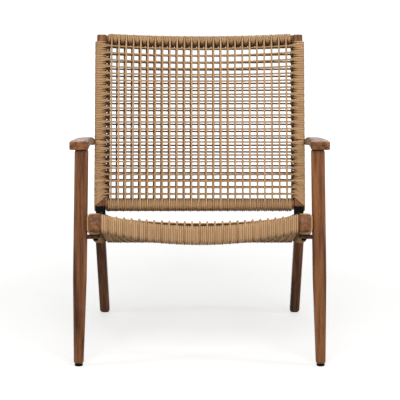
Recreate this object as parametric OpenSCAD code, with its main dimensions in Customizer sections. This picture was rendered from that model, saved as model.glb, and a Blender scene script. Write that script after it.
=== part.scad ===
// Low wooden armchair with a woven paper-cord seat and back.
// +X is the viewer's right, +Y runs from the front of the chair to its back, +Z is up.
// The origin is on the floor, below the middle of the chair's outer box.
// Left and right are as seen from the front.

/* [Armrests] */
// Height of the front end of the armrest's top
arm_top_z = 584; // [560:1:610]
// Width across the outer edges of both armrests
arm_span = 652; // [640:1:670]
// Thickness of the armrest at its front end
arm_front_t = 22; // [18:1:28]
// Thickness of the armrest at its rear end
arm_rear_t = 18; // [14:1:24]

/* [Front legs] */
// Width of the front leg down to the seat
leg_w = 34.2; // [30:0.2:38]
// Width of the front leg at the floor
leg_foot_w = 24.8; // [20:0.2:30]
// Depth of the front leg under the armrest
leg_d = 38; // [32:1:44]
// Depth of the front leg at the floor
leg_foot_d = 27; // [22:1:34]

/* [Rear legs] */
// Width of the rear leg
rear_leg_w = 26; // [22:1:30]
// Depth of the rear leg beside the seat
rear_leg_d = 36; // [30:1:42]
// Depth of the rear leg at the floor
rear_foot_d = 26; // [22:1:32]
// Distance from the front leg's middle to the rear foot's middle
rear_foot_y = 600; // [580:1:620]

/* [Back] */
// Lean of the back from upright, in degrees
recline = 22.6; // [20:0.2:25]
// Length of the back post
post_len = 473; // [460:1:480]
// Width of the back post
post_w = 25.4; // [22:0.2:28]
// Depth of the back post
post_d = 30; // [26:1:32]
// Middle of the back post from the middle of the chair
post_x = 263.5; // [262:0.1:265]
// How far the top rail bows backwards in its middle
top_bow = 28; // [20:1:32]

/* [Seat] */
// Fall of the seat towards the back, in degrees
seat_pitch = 14.8; // [13.8:0.2:15.6]
// Height of the middle of the side rail's front end
seat_front_z = 382; // [376:1:388]
// Height of the seat's side rail
side_rail_h = 42; // [38:1:44]
// Width of the seat's side rail
side_rail_w = 28; // [24:1:28]
// Middle of the side rail from the middle of the chair
side_rail_x = 263.9; // [262:0.1:264]
// How far the front rail dips in its middle
front_dip = 31; // [20:1:36]

/* [Cord] */
// Thickness of the paper cord
cord_d = 4.6; // [4:0.1:5]
// Strands from rail to rail in the back, and front to rear in the seat
warps = 25; // [21:2:29]
// Strands from post to post on the front of the back
back_wefts = 23; // [18:1:23]
// Strands from side to side on top of the seat
seat_wefts = 21; // [16:1:23]

/* [Hardware] */
// Diameter of the bolts' shanks
bolt_d = 6; // [5:0.5:6]
// Diameter of the bolts' heads
head_d = 12; // [10:1:12]
// Diameter of the wooden dowels
dowel_d = 8; // [6:1:8]
// Height of the glide under a front foot
front_glide_h = 6.5; // [5:0.5:8]
// Height of the glide under a rear foot
rear_glide_h = 4; // [3:0.5:5]

/* [Hidden] */
$fn = 48;

wood_colour = "#8a6344";
cord_colour = "#c4a076";
steel_colour = "#1c1a19";
zinc_colour = "#9a9c9e";

// Clearance of a hole or slot, steps along a bowed piece, and the least bow that is drawn.
slack = 0.4;
arc_steps = 24;
least_bow = 1.8;
bolt_hole = bolt_d + slack;
cord_r = cord_d / 2;

// Depths are first counted from the front legs' middle, then moved so that the outer box is centred.
seat_front_y = -60;
post_foot_y = 438.3;
post_foot_z = 322;
rail_d = post_d + 2 * cord_d;
rail_r = 8;
top_rail_h = 19;
bottom_rail_h = 22;
top_rail_z = post_len - 2 - top_rail_h / 2;
bottom_rail_z = 8;

// Clevis between the back post and the rear leg.
bracket_band = 13;
bracket_h = 38;
pivot_drop = 26;
pivot_d = 8;
slot_w = 10;
pivot_y = post_foot_y - pivot_drop * sin(recline);
pivot_z = post_foot_z - pivot_drop * cos(recline);
rear_rake = atan((rear_foot_y - pivot_y) / pivot_z);
rear_leg_len = pivot_z / cos(rear_rake);
rear_shoulder = rear_leg_len - 26;
rear_foot_x = 259;
rear_top_x = post_x + 3.4;
rear_splay = atan((rear_top_x - rear_foot_x) / rear_leg_len);

// Seat rails, in the seat's own frame.
side_rail_len = 520;
seat_rail_d = 24;
front_rail_h = 39;
rear_rail_h = 41;
front_rail_y = 6 + seat_rail_d / 2;
rear_rail_y = 480;
seat_rail_top = 20.5;
front_rail_z = seat_rail_top - front_rail_h / 2;
rear_rail_z = seat_rail_top - rear_rail_h / 2;
seat_inner_x = side_rail_x - side_rail_w / 2;
post_inner_x = post_x - post_w / 2;

// The foremost point is on the front rail's cord, and the rearmost on the top rail's cord.
front_reach = seat_front_y + (front_rail_y - seat_rail_d / 2 + rail_r) * cos(seat_pitch)
    + (front_rail_z - front_dip - front_rail_h / 2 + rail_r) * sin(seat_pitch) - rail_r - cord_d;
back_reach = post_foot_y + (top_rail_z + top_rail_h / 2 - rail_r) * sin(recline)
    + (top_bow + rail_d / 2 - rail_r) * cos(recline) + rail_r + cord_d;
middle_y = (front_reach + back_reach) / 2;

// Where the bolt crosses from the post to the armrest, along the post.
arm_bolt_z = 180;
bearer_y = 70;
bearer_bolt_x = 262;
bearer_t = 10;
bearer_len = 30;
rear_bolt_z = -2;
rear_bolt_start = 455;
rear_bolt_len = 88;

// Rows of cord. The upper rows on the front of the back are a little wider apart than the
// lower ones. The upright cords behind stand a little to one side of those in front.
warp_pitch_front = 19.5;
warp_pitch_rear = 19.87;
warp_shift_rear = -4.6;
warp_pitch_seat = 19.1;
weft_top_z = 441.4;
weft_pitch_upper = 19.15;
weft_pitch_lower = 17.6;
weft_upper_rows = 14;
rear_weft_top_z = 440.4;
rear_weft_pitch = 18.97;
seat_weft_first = 46;
seat_weft_pitch = 20.4;

// ---- Placing ----

// Moves a piece from depths counted at the front legs to the chair's own frame.
module in_chair() {
    translate([0, -middle_y, 0]) children();
}

// Z runs up along the back posts and Y through the back, from its foot.
module in_back() {
    in_chair() translate([0, post_foot_y, post_foot_z]) rotate([-recline, 0, 0]) children();
}

// Y runs back along the seat's side rails from the middle of their front ends.
module in_seat() {
    in_chair() translate([0, seat_front_y, seat_front_z]) rotate([-seat_pitch, 0, 0]) children();
}

// Z runs up along the right rear leg from the floor.
module in_rear_leg() {
    in_chair()
        translate([rear_foot_x, rear_foot_y, 0])
        rotate([rear_rake, 0, 0])
        rotate([0, rear_splay, 0])
        children();
}

// Draws a piece of the right side, or its mirror image on the left.
module on_side(left) {
    mirror([left ? 1 : 0, 0, 0]) children();
}

module both_sides() {
    on_side(false) children();
    on_side(true) children();
}

// ---- Shapes ----

// Rectangle with round corners, centred.
module round_rect(w, h, r) {
    square([w - 2 * r, h], center = true);
    square([w, h - 2 * r], center = true);
    for (sx = [-1, 1], sy = [-1, 1])
        translate([sx * (w / 2 - r), sy * (h / 2 - r)]) circle(r, $fn = 32);
}

// Rod along X from x1 to x2.
module rod_x(x1, x2, d) {
    translate([x1, 0, 0]) rotate([0, 90, 0]) cylinder(h = x2 - x1, d = d);
}

// Straight bar along X with a rounded section that is w through Y and h through Z.
module bar_x(half_len, w, h, r) {
    rotate([90, 0, 90]) translate([0, 0, -half_len]) linear_extrude(2 * half_len) round_rect(w, h, r);
}

function arc_radius(half_len, rise) = (half_len * half_len + rise * rise) / (2 * rise);

// How far an arc stands off its chord at x, when its middle stands off by rise.
function arc_rise(x, half_len, rise) =
    sqrt(pow(arc_radius(half_len, rise), 2) - x * x) - arc_radius(half_len, rise) + rise;

// Sweeps a section along an arc whose middle stands at y = rise. The arc would meet y = 0 at
// half_len, and covers x from -end_x to end_x.
module arc_x(half_len, rise, end_x) {
    big_r = arc_radius(half_len, rise);
    sweep = 2 * asin(end_x / big_r);
    translate([0, rise - big_r, 0])
        rotate([0, 0, 90 - sweep / 2])
        rotate_extrude(angle = sweep, $fn = ceil(arc_steps * 360 / sweep))
        translate([big_r, 0])
        children();
}

// The same, for a rail whose ends are cut square to fit between two others.
module bow_x(half_len, rise, end_x) {
    reach = 120;
    intersection() {
        arc_x(half_len, rise, end_x + reach / 4) children();
        translate([-end_x, -reach, -reach]) cube([2 * end_x, 2 * reach, 2 * reach]);
    }
}

// Cord along X whose middle stands off by rise. A very slight bow is drawn straight.
module bow_cord_x(half_len, rise, end_x) {
    if (rise < least_bow)
        translate([0, rise / 2, 0]) rod_x(-end_x, end_x, cord_d);
    else
        arc_x(half_len, rise, end_x) circle(d = cord_d, $fn = 24);
}

// Cord from one point to another in the YZ plane.
module cord_yz(from, to) {
    run = to - from;
    translate([0, from[0], from[1]])
        rotate([-atan2(run[0], run[1]), 0, 0])
        cylinder(h = norm(run), d = cord_d, $fn = 24);
}

// ---- Armrests ----

arm_front_y = -30;
arm_rear_y = 532;
arm_fall = 0.1106;
arm_curve = 0.0000939;
arm_front_in = 278;
arm_rear_in = post_x + post_w / 2 + cord_d + 0.1;

function arm_top(y) =
    arm_top_z - arm_fall * (y - arm_front_y) - arm_curve * pow(y - arm_front_y, 2);
function arm_t(y) =
    arm_front_t + (arm_rear_t - arm_front_t) * (y - arm_front_y) / (arm_rear_y - arm_front_y);
function arm_bottom(y) = arm_top(y) - arm_t(y);

module arm_side_outline() {
    stations = [for (i = [0 : 14]) arm_front_y + (arm_rear_y - arm_front_y) * i / 14];
    polygon(concat(
        [for (y = stations) [y, arm_top(y)]],
        [for (i = [14 : -1 : 0]) [stations[i], arm_bottom(stations[i])]]
    ));
}

// Seen from above: a straight inner edge, and an outer edge that narrows towards the back.
module arm_plan() {
    outer = arm_span / 2;
    corner = 7;
    polygon([
        [arm_front_in, arm_front_y + corner], [arm_front_in + corner, arm_front_y],
        [outer - corner, arm_front_y], [outer, arm_front_y + corner],
        [outer - 1.5, 40], [outer - 5, 80], [outer - 9.5, 160], [outer - 14.5, 230],
        [outer - 20, 300], [outer - 24, 370], [outer - 26, 440],
        [outer - 27, arm_rear_y - 14], [outer - 34, arm_rear_y],
        [arm_rear_in + 4, arm_rear_y], [arm_rear_in, arm_rear_y - 5], [arm_rear_in, 470]
    ]);
}

module armrest(left) {
    color(wood_colour) on_side(left) difference() {
        in_chair() intersection() {
            linear_extrude(arm_top_z + 1) arm_plan();
            rotate([90, 0, 90]) linear_extrude(arm_span) arm_side_outline();
        }
        arm_dowel_pair();
        arm_insert_blank();
    }
}

// ---- Front legs ----

leg_knee_z = 225;
leg_knee_x = 320;
leg_top_x = 313.3;
leg_foot_x = leg_knee_x - 0.2;

module front_leg(left) {
    color(wood_colour) on_side(left) difference() {
        in_chair() intersection() {
            translate([0, 100, 0]) rotate([90, 0, 0]) linear_extrude(200) polygon([
                [leg_foot_x - leg_foot_w, front_glide_h], [leg_foot_x, front_glide_h],
                [leg_knee_x, leg_knee_z], [leg_top_x, arm_top_z],
                [leg_top_x - leg_w, arm_top_z], [leg_knee_x - leg_w, leg_knee_z]
            ]);
            rotate([90, 0, 90]) linear_extrude(arm_span) polygon([
                [-leg_foot_d / 2, 0], [leg_foot_d / 2, 0], [leg_d / 2, leg_knee_z],
                [leg_d / 2, arm_bottom(leg_d / 2)], [-leg_d / 2, arm_bottom(-leg_d / 2)],
                [-leg_d / 2, leg_knee_z]
            ]);
        }
        arm_dowel_pair();
        bearer_blank();
        front_nail();
    }
}

// ---- Rear legs ----

module rear_leg(left) {
    color(wood_colour) on_side(left) difference() {
        union() {
            rear_leg_bar();
            rear_tongue();
        }
        in_chair() translate([0, rear_foot_y - 100, rear_glide_h - 100]) cube([400, 200, 100]);
        pivot_hole();
        rear_bolt_hole();
        rear_nail();
    }
}

module rear_leg_bar() {
    in_rear_leg() translate([-rear_leg_w / 2, 0, 0]) rotate([90, 0, 90]) linear_extrude(rear_leg_w)
        polygon([
            [-rear_foot_d / 2, -20], [rear_foot_d / 2, -20], [rear_leg_d / 2, rear_shoulder - 60],
            [rear_leg_d / 2, rear_shoulder], [-rear_leg_d / 2, rear_shoulder],
            [-rear_leg_d / 2, rear_shoulder - 60]
        ]);
}

// Flat tongue on top of the leg, rounded about the cross bolt.
module rear_tongue() {
    tongue_r = 11;
    tongue_w = slot_w - slack;
    in_chair() translate([post_x - tongue_w / 2, pivot_y, pivot_z]) rotate([rear_rake, 0, 0])
        rotate([90, 0, 90]) linear_extrude(tongue_w) {
            circle(tongue_r);
            translate([-tongue_r, -40]) square([2 * tongue_r, 40]);
        }
}

// ---- Back frame ----

module back_post(left) {
    color(wood_colour) on_side(left) difference() {
        in_back() translate([post_x, 0, 0]) linear_extrude(post_len) round_rect(post_w, post_d, 4);
        back_dowel_set();
        arm_bolt_hole();
        bracket_screw_hole();
    }
}

module back_top_rail() {
    color(wood_colour) difference() {
        in_back() translate([0, 0, top_rail_z]) bow_x(post_inner_x, top_bow, post_inner_x)
            round_rect(rail_d, top_rail_h, rail_r);
        both_sides() back_dowel_set();
    }
}

module back_bottom_rail() {
    color(wood_colour) difference() {
        in_back() translate([0, 0, bottom_rail_z]) bar_x(post_inner_x, rail_d, bottom_rail_h, rail_r);
        both_sides() back_dowel_set();
    }
}

// ---- Seat frame ----

module seat_side_rail(left) {
    color(wood_colour) on_side(left) difference() {
        in_seat() translate([side_rail_x, 0, 0]) rotate([-90, 0, 0])
            linear_extrude(side_rail_len) round_rect(side_rail_w, side_rail_h, 6);
        rear_leg_space();
        seat_dowel_set();
        bearer_bolt_hole();
        rear_bolt_hole();
        barrel_nut_hole();
    }
}

// Everything behind the front face of the rear leg.
module rear_leg_space() {
    in_rear_leg() translate([-60, -rear_leg_d / 2, 0]) cube([120, 200, rear_leg_len + 60]);
}

module seat_front_rail() {
    color(wood_colour) difference() {
        in_seat() translate([0, front_rail_y, front_rail_z]) rotate([-90, 0, 0])
            bow_x(seat_inner_x, front_dip, seat_inner_x) round_rect(front_rail_h, seat_rail_d, rail_r);
        both_sides() seat_dowel_set();
    }
}

module seat_rear_rail() {
    color(wood_colour) difference() {
        in_seat() translate([0, rear_rail_y, rear_rail_z])
            bar_x(seat_inner_x, seat_rail_d, rear_rail_h, rail_r);
        both_sides() seat_dowel_set();
    }
}

// Ledge let into the front leg, with a round tenon. It carries the side rail.
module bearer_blank() {
    ledge_z = -side_rail_h / 2 - cord_d - bearer_t / 2;
    housing_x = leg_knee_x - leg_w + 3;
    in_seat() translate([0, bearer_y, ledge_z]) {
        translate([seat_inner_x, -bearer_len / 2, -bearer_t / 2])
            cube([housing_x - seat_inner_x, bearer_len, bearer_t]);
        rod_x(housing_x - 1, housing_x + 15, bearer_t - 2);
    }
}

module seat_bearer(left) {
    color(wood_colour) on_side(left) difference() {
        bearer_blank();
        bearer_bolt_hole();
    }
}

// ---- Fittings and fasteners ----

module post_bracket(left) {
    color(steel_colour) on_side(left) difference() {
        in_back() translate([post_x, 0, -bracket_h]) linear_extrude(bracket_h)
            round_rect(post_w, post_d, 3);
        in_back() translate([post_x - slot_w / 2, -post_d, -bracket_h - 1])
            cube([slot_w, 2 * post_d, bracket_h - bracket_band + 1]);
        rear_leg_shoulder_space();
        pivot_hole();
        bracket_screw_hole();
    }
}

// Room for the wide part of the rear leg below the bracket's cheeks.
module rear_leg_shoulder_space() {
    in_rear_leg() translate([-40, -60, 0]) cube([80, 120, rear_shoulder + 0.5]);
}

module pivot_hole() {
    in_chair() translate([0, pivot_y, pivot_z]) rod_x(post_x - 60, post_x + 60, pivot_d + slack);
}

module bracket_bolts() {
    color(steel_colour) both_sides() in_chair() translate([0, pivot_y, pivot_z]) {
        rod_x(post_x - post_w / 2 - 6, post_x + post_w / 2 + 0.5, pivot_d);
        rod_x(post_x + post_w / 2 + 0.1, post_x + post_w / 2 + 4, 13);
    }
}

module bracket_nuts() {
    color(steel_colour) both_sides() in_chair() translate([0, pivot_y, pivot_z]) difference() {
        translate([post_x - post_w / 2 - 5.6, 0, 0]) rotate([0, 90, 0]) cylinder(h = 5.5, d = 15, $fn = 6);
        rod_x(post_x - 60, post_x, pivot_d);
    }
}

module bracket_screw_hole() {
    in_back() translate([post_x, 0, 0]) {
        translate([0, 0, -bracket_band - 1]) cylinder(h = 60, d = bolt_d);
        translate([0, 0, -bracket_band - 1]) cylinder(h = 6, d = 9.4);
    }
}

module bracket_screws() {
    color(zinc_colour) both_sides() in_back() translate([post_x, 0, 0]) {
        translate([0, 0, -bracket_band + 4]) cylinder(h = 46, d = bolt_d);
        translate([0, 0, -bracket_band + 1]) cylinder(h = 4, d = 9);
    }
}

module arm_bolt_hole() {
    in_back() translate([0, 0, arm_bolt_z]) {
        rod_x(post_x - 40, arm_rear_in + 17, bolt_hole);
        rod_x(post_x - 40, post_x - post_w / 2 + 5, head_d + slack);
    }
}

module arm_bolts() {
    color(zinc_colour) both_sides() in_back() translate([0, 0, arm_bolt_z]) {
        rod_x(post_x - post_w / 2 + 4, arm_rear_in + 14, bolt_d);
        rod_x(post_x - post_w / 2 + 0.5, post_x - post_w / 2 + 5, head_d);
    }
}

module arm_insert_blank() {
    in_back() translate([0, 0, arm_bolt_z]) rod_x(arm_rear_in - 1, arm_rear_in + 15, 10);
}

module arm_inserts() {
    color("#b09a55") both_sides() in_back() translate([0, 0, arm_bolt_z]) difference() {
        rod_x(arm_rear_in, arm_rear_in + 15, 10);
        rod_x(arm_rear_in - 1, arm_rear_in + 14, bolt_d);
    }
}

module bearer_bolt_hole() {
    in_seat() translate([bearer_bolt_x, bearer_y, -side_rail_h / 2 - 40])
        cylinder(h = 66, d = bolt_hole);
}

module bearer_bolts() {
    head_z = -side_rail_h / 2 - cord_d - bearer_t;
    color(steel_colour) both_sides() in_seat() translate([bearer_bolt_x, bearer_y, head_z]) {
        translate([0, 0, -1]) cylinder(h = 40, d = bolt_d);
        translate([0, 0, -5]) cylinder(h = 5, d = head_d);
    }
}

module rear_bolt_hole() {
    in_seat() translate([side_rail_x, 0, rear_bolt_z]) rotate([-90, 0, 0]) {
        translate([0, 0, rear_bolt_start - 5]) cylinder(h = 200, d = bolt_hole);
        translate([0, 0, rear_bolt_start + rear_bolt_len]) cylinder(h = 100, d = head_d + slack);
    }
}

module rear_rail_bolts() {
    color(steel_colour) both_sides() in_seat() translate([side_rail_x, 0, rear_bolt_z])
        rotate([-90, 0, 0]) {
            translate([0, 0, rear_bolt_start]) cylinder(h = rear_bolt_len + 1, d = bolt_d);
            translate([0, 0, rear_bolt_start + rear_bolt_len]) cylinder(h = 5, d = head_d);
        }
}

module barrel_nut_hole() {
    in_seat() translate([0, rear_bolt_start + 11, rear_bolt_z]) rod_x(side_rail_x - 8, side_rail_x + 8, 10);
}

module barrel_nuts() {
    color(zinc_colour) both_sides() difference() {
        barrel_nut_hole();
        in_seat() translate([side_rail_x, rear_bolt_start - 20, rear_bolt_z]) rotate([-90, 0, 0])
            cylinder(h = 60, d = bolt_d);
    }
}

module arm_dowel_pair() {
    foot = arm_bottom(0);
    for (dx = [-8, 8])
        in_chair() translate([leg_top_x - leg_w / 2 + dx, 0, foot - 22]) cylinder(h = 36, d = dowel_d);
}

module arm_dowels() {
    color("#b98f63") both_sides() arm_dowel_pair();
}

// Dowels that join the back's rails to the right post.
module back_dowel_set() {
    dy = 8;
    for (dz = [bottom_rail_z, top_rail_z], side = [-1, 1])
        in_back() translate([0, side * dy, dz]) rod_x(post_inner_x - 22, post_inner_x + 16, dowel_d);
}

module back_dowels() {
    color("#b98f63") both_sides() back_dowel_set();
}

// Dowels that join the seat's front and rear rails to the right side rail.
module seat_dowel_set() {
    dz = 8;
    for (y = [front_rail_y, rear_rail_y], side = [-1, 1])
        in_seat() translate([0, y, side * dz]) rod_x(seat_inner_x - 22, seat_inner_x + 16, dowel_d);
}

module seat_dowels() {
    color("#b98f63") both_sides() seat_dowel_set();
}

foot_mid_x = leg_foot_x - leg_foot_w / 2;

module front_glides() {
    color(steel_colour) both_sides() difference() {
        in_chair() translate([foot_mid_x, 0, 0]) cylinder(h = front_glide_h, d = leg_foot_w - 4);
        front_nail();
    }
}

module rear_glides() {
    color(steel_colour) both_sides() difference() {
        in_chair() translate([rear_foot_x, rear_foot_y, 0]) cylinder(h = rear_glide_h, d = 22);
        rear_nail();
    }
}

module front_nail() {
    in_chair() translate([foot_mid_x, 0, 2]) cylinder(h = 20, d = 3);
}

module rear_nail() {
    in_chair() translate([rear_foot_x, rear_foot_y, 1.5]) cylinder(h = 16, d = 3);
}

module glide_nails() {
    color(zinc_colour) both_sides() {
        front_nail();
        rear_nail();
    }
}

// ---- Cord wound round the rails ----

module post_wrap(left) {
    foot = 12;
    color(cord_colour) on_side(left) difference() {
        in_back() translate([post_x, 0, foot]) linear_extrude(post_len - foot - 17) difference() {
            round_rect(post_w + 2 * cord_d, post_d + 2 * cord_d, 4 + cord_d);
            round_rect(post_w, post_d, 4);
        }
        arm_bolt_hole();
        back_corner_space(bottom_rail_z, bottom_rail_h);
        back_corner_space(top_rail_z, top_rail_h);
    }
}

// Room beside a post for the end of the top or bottom rail and its cord.
module back_corner_space(z, h) {
    span = h + 2 * cord_d;
    in_back() translate([-post_inner_x, -100, z - span / 2]) cube([2 * post_inner_x, 200, span]);
}

module top_rail_wrap() {
    color(cord_colour) in_back() translate([0, 0, top_rail_z]) difference() {
        bow_x(post_inner_x, top_bow, post_inner_x)
            round_rect(rail_d + 2 * cord_d, top_rail_h + 2 * cord_d, rail_r + cord_d);
        bow_x(post_inner_x, top_bow, post_inner_x + 2) round_rect(rail_d, top_rail_h, rail_r);
    }
}

module bottom_rail_wrap() {
    color(cord_colour) in_back() translate([0, 0, bottom_rail_z]) difference() {
        bar_x(post_inner_x, rail_d + 2 * cord_d, bottom_rail_h + 2 * cord_d, rail_r + cord_d);
        bar_x(post_inner_x + 2, rail_d, bottom_rail_h, rail_r);
    }
}

module side_rail_wrap(left) {
    start = 12;
    length = 466;
    color(cord_colour) on_side(left) difference() {
        in_seat() translate([side_rail_x, start, 0]) rotate([-90, 0, 0]) linear_extrude(length) difference() {
            round_rect(side_rail_w + 2 * cord_d, side_rail_h + 2 * cord_d, 6 + cord_d);
            round_rect(side_rail_w, side_rail_h, 6);
        }
        bearer_bolt_hole();
        seat_corner_space(front_rail_y);
        seat_corner_space(rear_rail_y);
    }
}

// Room beside a side rail for the end of the front or rear rail and its cord.
module seat_corner_space(y) {
    span = seat_rail_d + 2 * cord_d;
    in_seat() translate([-seat_inner_x, y - span / 2, -100]) cube([2 * seat_inner_x, span, 200]);
}

module front_rail_wrap() {
    color(cord_colour) in_seat() translate([0, front_rail_y, front_rail_z]) rotate([-90, 0, 0]) difference() {
        bow_x(seat_inner_x, front_dip, seat_inner_x)
            round_rect(front_rail_h + 2 * cord_d, seat_rail_d + 2 * cord_d, rail_r + cord_d);
        bow_x(seat_inner_x, front_dip, seat_inner_x + 2) round_rect(front_rail_h, seat_rail_d, rail_r);
    }
}

module rear_rail_wrap() {
    color(cord_colour) in_seat() translate([0, rear_rail_y, rear_rail_z]) difference() {
        bar_x(seat_inner_x, seat_rail_d + 2 * cord_d, rear_rail_h + 2 * cord_d, rail_r + cord_d);
        bar_x(seat_inner_x + 2, seat_rail_d, rear_rail_h, rail_r);
    }
}

// ---- Cord across the back ----

warp_half = (warps - 1) / 2;
lift = cord_d + 0.1;
cord_gap = 0.6;
back_warp_y = rail_d / 2 + cord_r;
back_weft_y = back_warp_y - lift;
back_low_z = bottom_rail_z + bottom_rail_h / 2 + cord_d;
back_high_z = top_rail_z - top_rail_h / 2 - cord_d;

// How much of the top rail's bow the cords have at a height along the posts.
function bow_share(z) = (z - bottom_rail_z) / (top_rail_z - bottom_rail_z);

function front_row_z(i) = i < weft_upper_rows
    ? weft_top_z - i * weft_pitch_upper
    : weft_top_z - (weft_upper_rows - 1) * weft_pitch_upper - (i - weft_upper_rows + 1) * weft_pitch_lower;

function rear_row_z(i) = rear_weft_top_z - i * rear_weft_pitch;

// How far the middle of a front level cord hangs below its ends: full for the top rows, then fading.
weft_sag = 4.7;
weft_sag_rows = 6;
weft_sag_fade = 4;
function front_sag(i) = weft_sag * min(1, max(0, (weft_sag_rows - i) / weft_sag_fade));

// One layer of upright cords, in front (-1) or behind (1).
module back_warps(side, pitch, shift) {
    for (i = [-warp_half : warp_half]) {
        x = i * pitch + shift;
        bow = arc_rise(x, post_inner_x, top_bow);
        translate([x, 0, 0]) cord_yz(
            [side * back_warp_y + bow * bow_share(back_low_z), back_low_z],
            [side * back_warp_y + bow * bow_share(back_high_z), back_high_z]
        );
    }
}

// One cord from post to post, in front (-1) or behind (1), with its bow turned down by the sag.
module back_weft(side, z, sag) {
    translate([0, side * back_weft_y, z])
        rotate([-atan2(sag, top_bow * bow_share(z)), 0, 0])
        bow_cord_x(post_inner_x, top_bow * bow_share(z), post_inner_x - cord_d - cord_gap);
}

module back_warp_front() {
    color(cord_colour) in_back() back_warps(-1, warp_pitch_front, 0);
}

module back_warp_rear() {
    color(cord_colour) in_back() back_warps(1, warp_pitch_rear, warp_shift_rear);
}

module back_weft_front() {
    color(cord_colour) in_back() for (i = [0 : back_wefts - 1])
        back_weft(-1, front_row_z(i), front_sag(i));
}

module back_weft_rear() {
    color(cord_colour) in_back() for (i = [0 : back_wefts - 2])
        back_weft(1, rear_row_z(i), 0);
}

// ---- Cord across the seat ----

seat_cord_y1 = front_rail_y + seat_rail_d / 2 + cord_d;
seat_cord_y2 = rear_rail_y - seat_rail_d / 2 - cord_d;
seat_top_z = seat_rail_top + cord_r;
front_low_z = seat_rail_top - front_rail_h - cord_r;
rear_low_z = seat_rail_top - rear_rail_h - cord_r;

// How much of the front rail's dip the cords have at a distance behind it.
function dip_share(y) = 1 - (y - seat_cord_y1) / (seat_cord_y2 - seat_cord_y1);

function seat_low_z(y) = rear_low_z + (front_low_z - rear_low_z) * dip_share(y);

// One layer of cords from front to rear, between two heights.
module seat_warps(z1, z2) {
    for (i = [-warp_half : warp_half]) {
        x = i * warp_pitch_seat;
        translate([x, 0, 0]) cord_yz(
            [seat_cord_y1, z1 - arc_rise(x, seat_inner_x, front_dip)],
            [seat_cord_y2, z2]
        );
    }
}

module seat_weft_row(y, z) {
    translate([0, y, z]) rotate([-90, 0, 0])
        bow_cord_x(seat_inner_x, front_dip * dip_share(y), seat_inner_x - cord_d - cord_gap);
}

module seat_warp_top() {
    color(cord_colour) in_seat() seat_warps(seat_top_z, seat_top_z);
}

module seat_warp_bottom() {
    color(cord_colour) in_seat() seat_warps(front_low_z, rear_low_z);
}

module seat_weft_top() {
    color(cord_colour) in_seat() for (i = [0 : seat_wefts - 1]) {
        y = seat_weft_first + i * seat_weft_pitch;
        seat_weft_row(y, seat_top_z - lift);
    }
}

module seat_weft_bottom() {
    color(cord_colour) in_seat() for (i = [0 : seat_wefts - 1]) {
        y = seat_weft_first + i * seat_weft_pitch;
        seat_weft_row(y, seat_low_z(y) + lift);
    }
}

front_leg(true);  // front_leg_left
front_leg(false);  // front_leg_right
rear_leg(true);  // rear_leg_left
rear_leg(false);  // rear_leg_right
armrest(true);  // armrest_left
armrest(false);  // armrest_right
back_post(true);  // back_post_left
back_post(false);  // back_post_right
back_top_rail();
back_bottom_rail();
seat_side_rail(true);  // seat_side_rail_left
seat_side_rail(false);  // seat_side_rail_right
seat_front_rail();
seat_rear_rail();
seat_bearer(true);  // seat_bearer_left
seat_bearer(false);  // seat_bearer_right
post_bracket(true);  // post_bracket_left
post_bracket(false);  // post_bracket_right
arm_bolts();
arm_inserts();
bearer_bolts();
bracket_bolts();
bracket_nuts();
bracket_screws();
rear_rail_bolts();
barrel_nuts();
arm_dowels();
back_dowels();
seat_dowels();
front_glides();
rear_glides();
glide_nails();
post_wrap(true);  // post_wrap_left
post_wrap(false);  // post_wrap_right
top_rail_wrap();
bottom_rail_wrap();
side_rail_wrap(true);  // side_rail_wrap_left
side_rail_wrap(false);  // side_rail_wrap_right
front_rail_wrap();
rear_rail_wrap();
back_warp_front();
back_warp_rear();
back_weft_front();
back_weft_rear();
seat_warp_top();
seat_warp_bottom();
seat_weft_top();
seat_weft_bottom();
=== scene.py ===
import math
import random

import bmesh
import bpy
import numpy as np
from bpy.props import FloatProperty, FloatVectorProperty, IntProperty, PointerProperty
from bpy.types import Operator, Panel, PropertyGroup
from mathutils import Matrix, Vector


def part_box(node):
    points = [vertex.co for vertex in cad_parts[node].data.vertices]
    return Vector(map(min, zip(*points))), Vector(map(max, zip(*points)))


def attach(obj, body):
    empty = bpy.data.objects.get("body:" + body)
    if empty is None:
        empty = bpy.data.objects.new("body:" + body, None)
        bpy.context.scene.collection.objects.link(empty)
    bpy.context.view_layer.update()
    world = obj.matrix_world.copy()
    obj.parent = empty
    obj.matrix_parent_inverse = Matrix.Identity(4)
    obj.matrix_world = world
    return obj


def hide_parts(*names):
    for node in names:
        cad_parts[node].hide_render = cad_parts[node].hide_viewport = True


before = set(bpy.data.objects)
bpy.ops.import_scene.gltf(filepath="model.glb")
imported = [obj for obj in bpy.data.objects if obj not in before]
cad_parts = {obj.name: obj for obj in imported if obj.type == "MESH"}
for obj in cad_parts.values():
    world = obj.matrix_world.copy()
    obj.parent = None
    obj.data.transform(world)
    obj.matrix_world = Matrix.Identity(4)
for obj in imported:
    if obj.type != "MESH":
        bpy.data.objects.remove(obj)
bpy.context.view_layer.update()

bl_info = {
    "name": "Paper-cord armchair",
    "version": (1, 0, 0),
    "blender": (4, 5, 0),
    "location": "3D View > Sidebar > Armchair",
    "description": "Rounded timber, wound and woven paper cord, fittings and a studio for the armchair",
    "category": "Object",
}

MM = 0.001

# ---- Where the frame's pieces stand ----

LEG_LO, LEG_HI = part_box("front_leg_right")
LEG_Y = (LEG_LO.y + LEG_HI.y) / 2
ARM_LO, ARM_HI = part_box("armrest_right")
GLIDE_LO, GLIDE_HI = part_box("front_glides")
REAR_GLIDE_LO, REAR_GLIDE_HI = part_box("rear_glides")
BEARER_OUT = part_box("seat_bearer_right")[1].x

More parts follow.
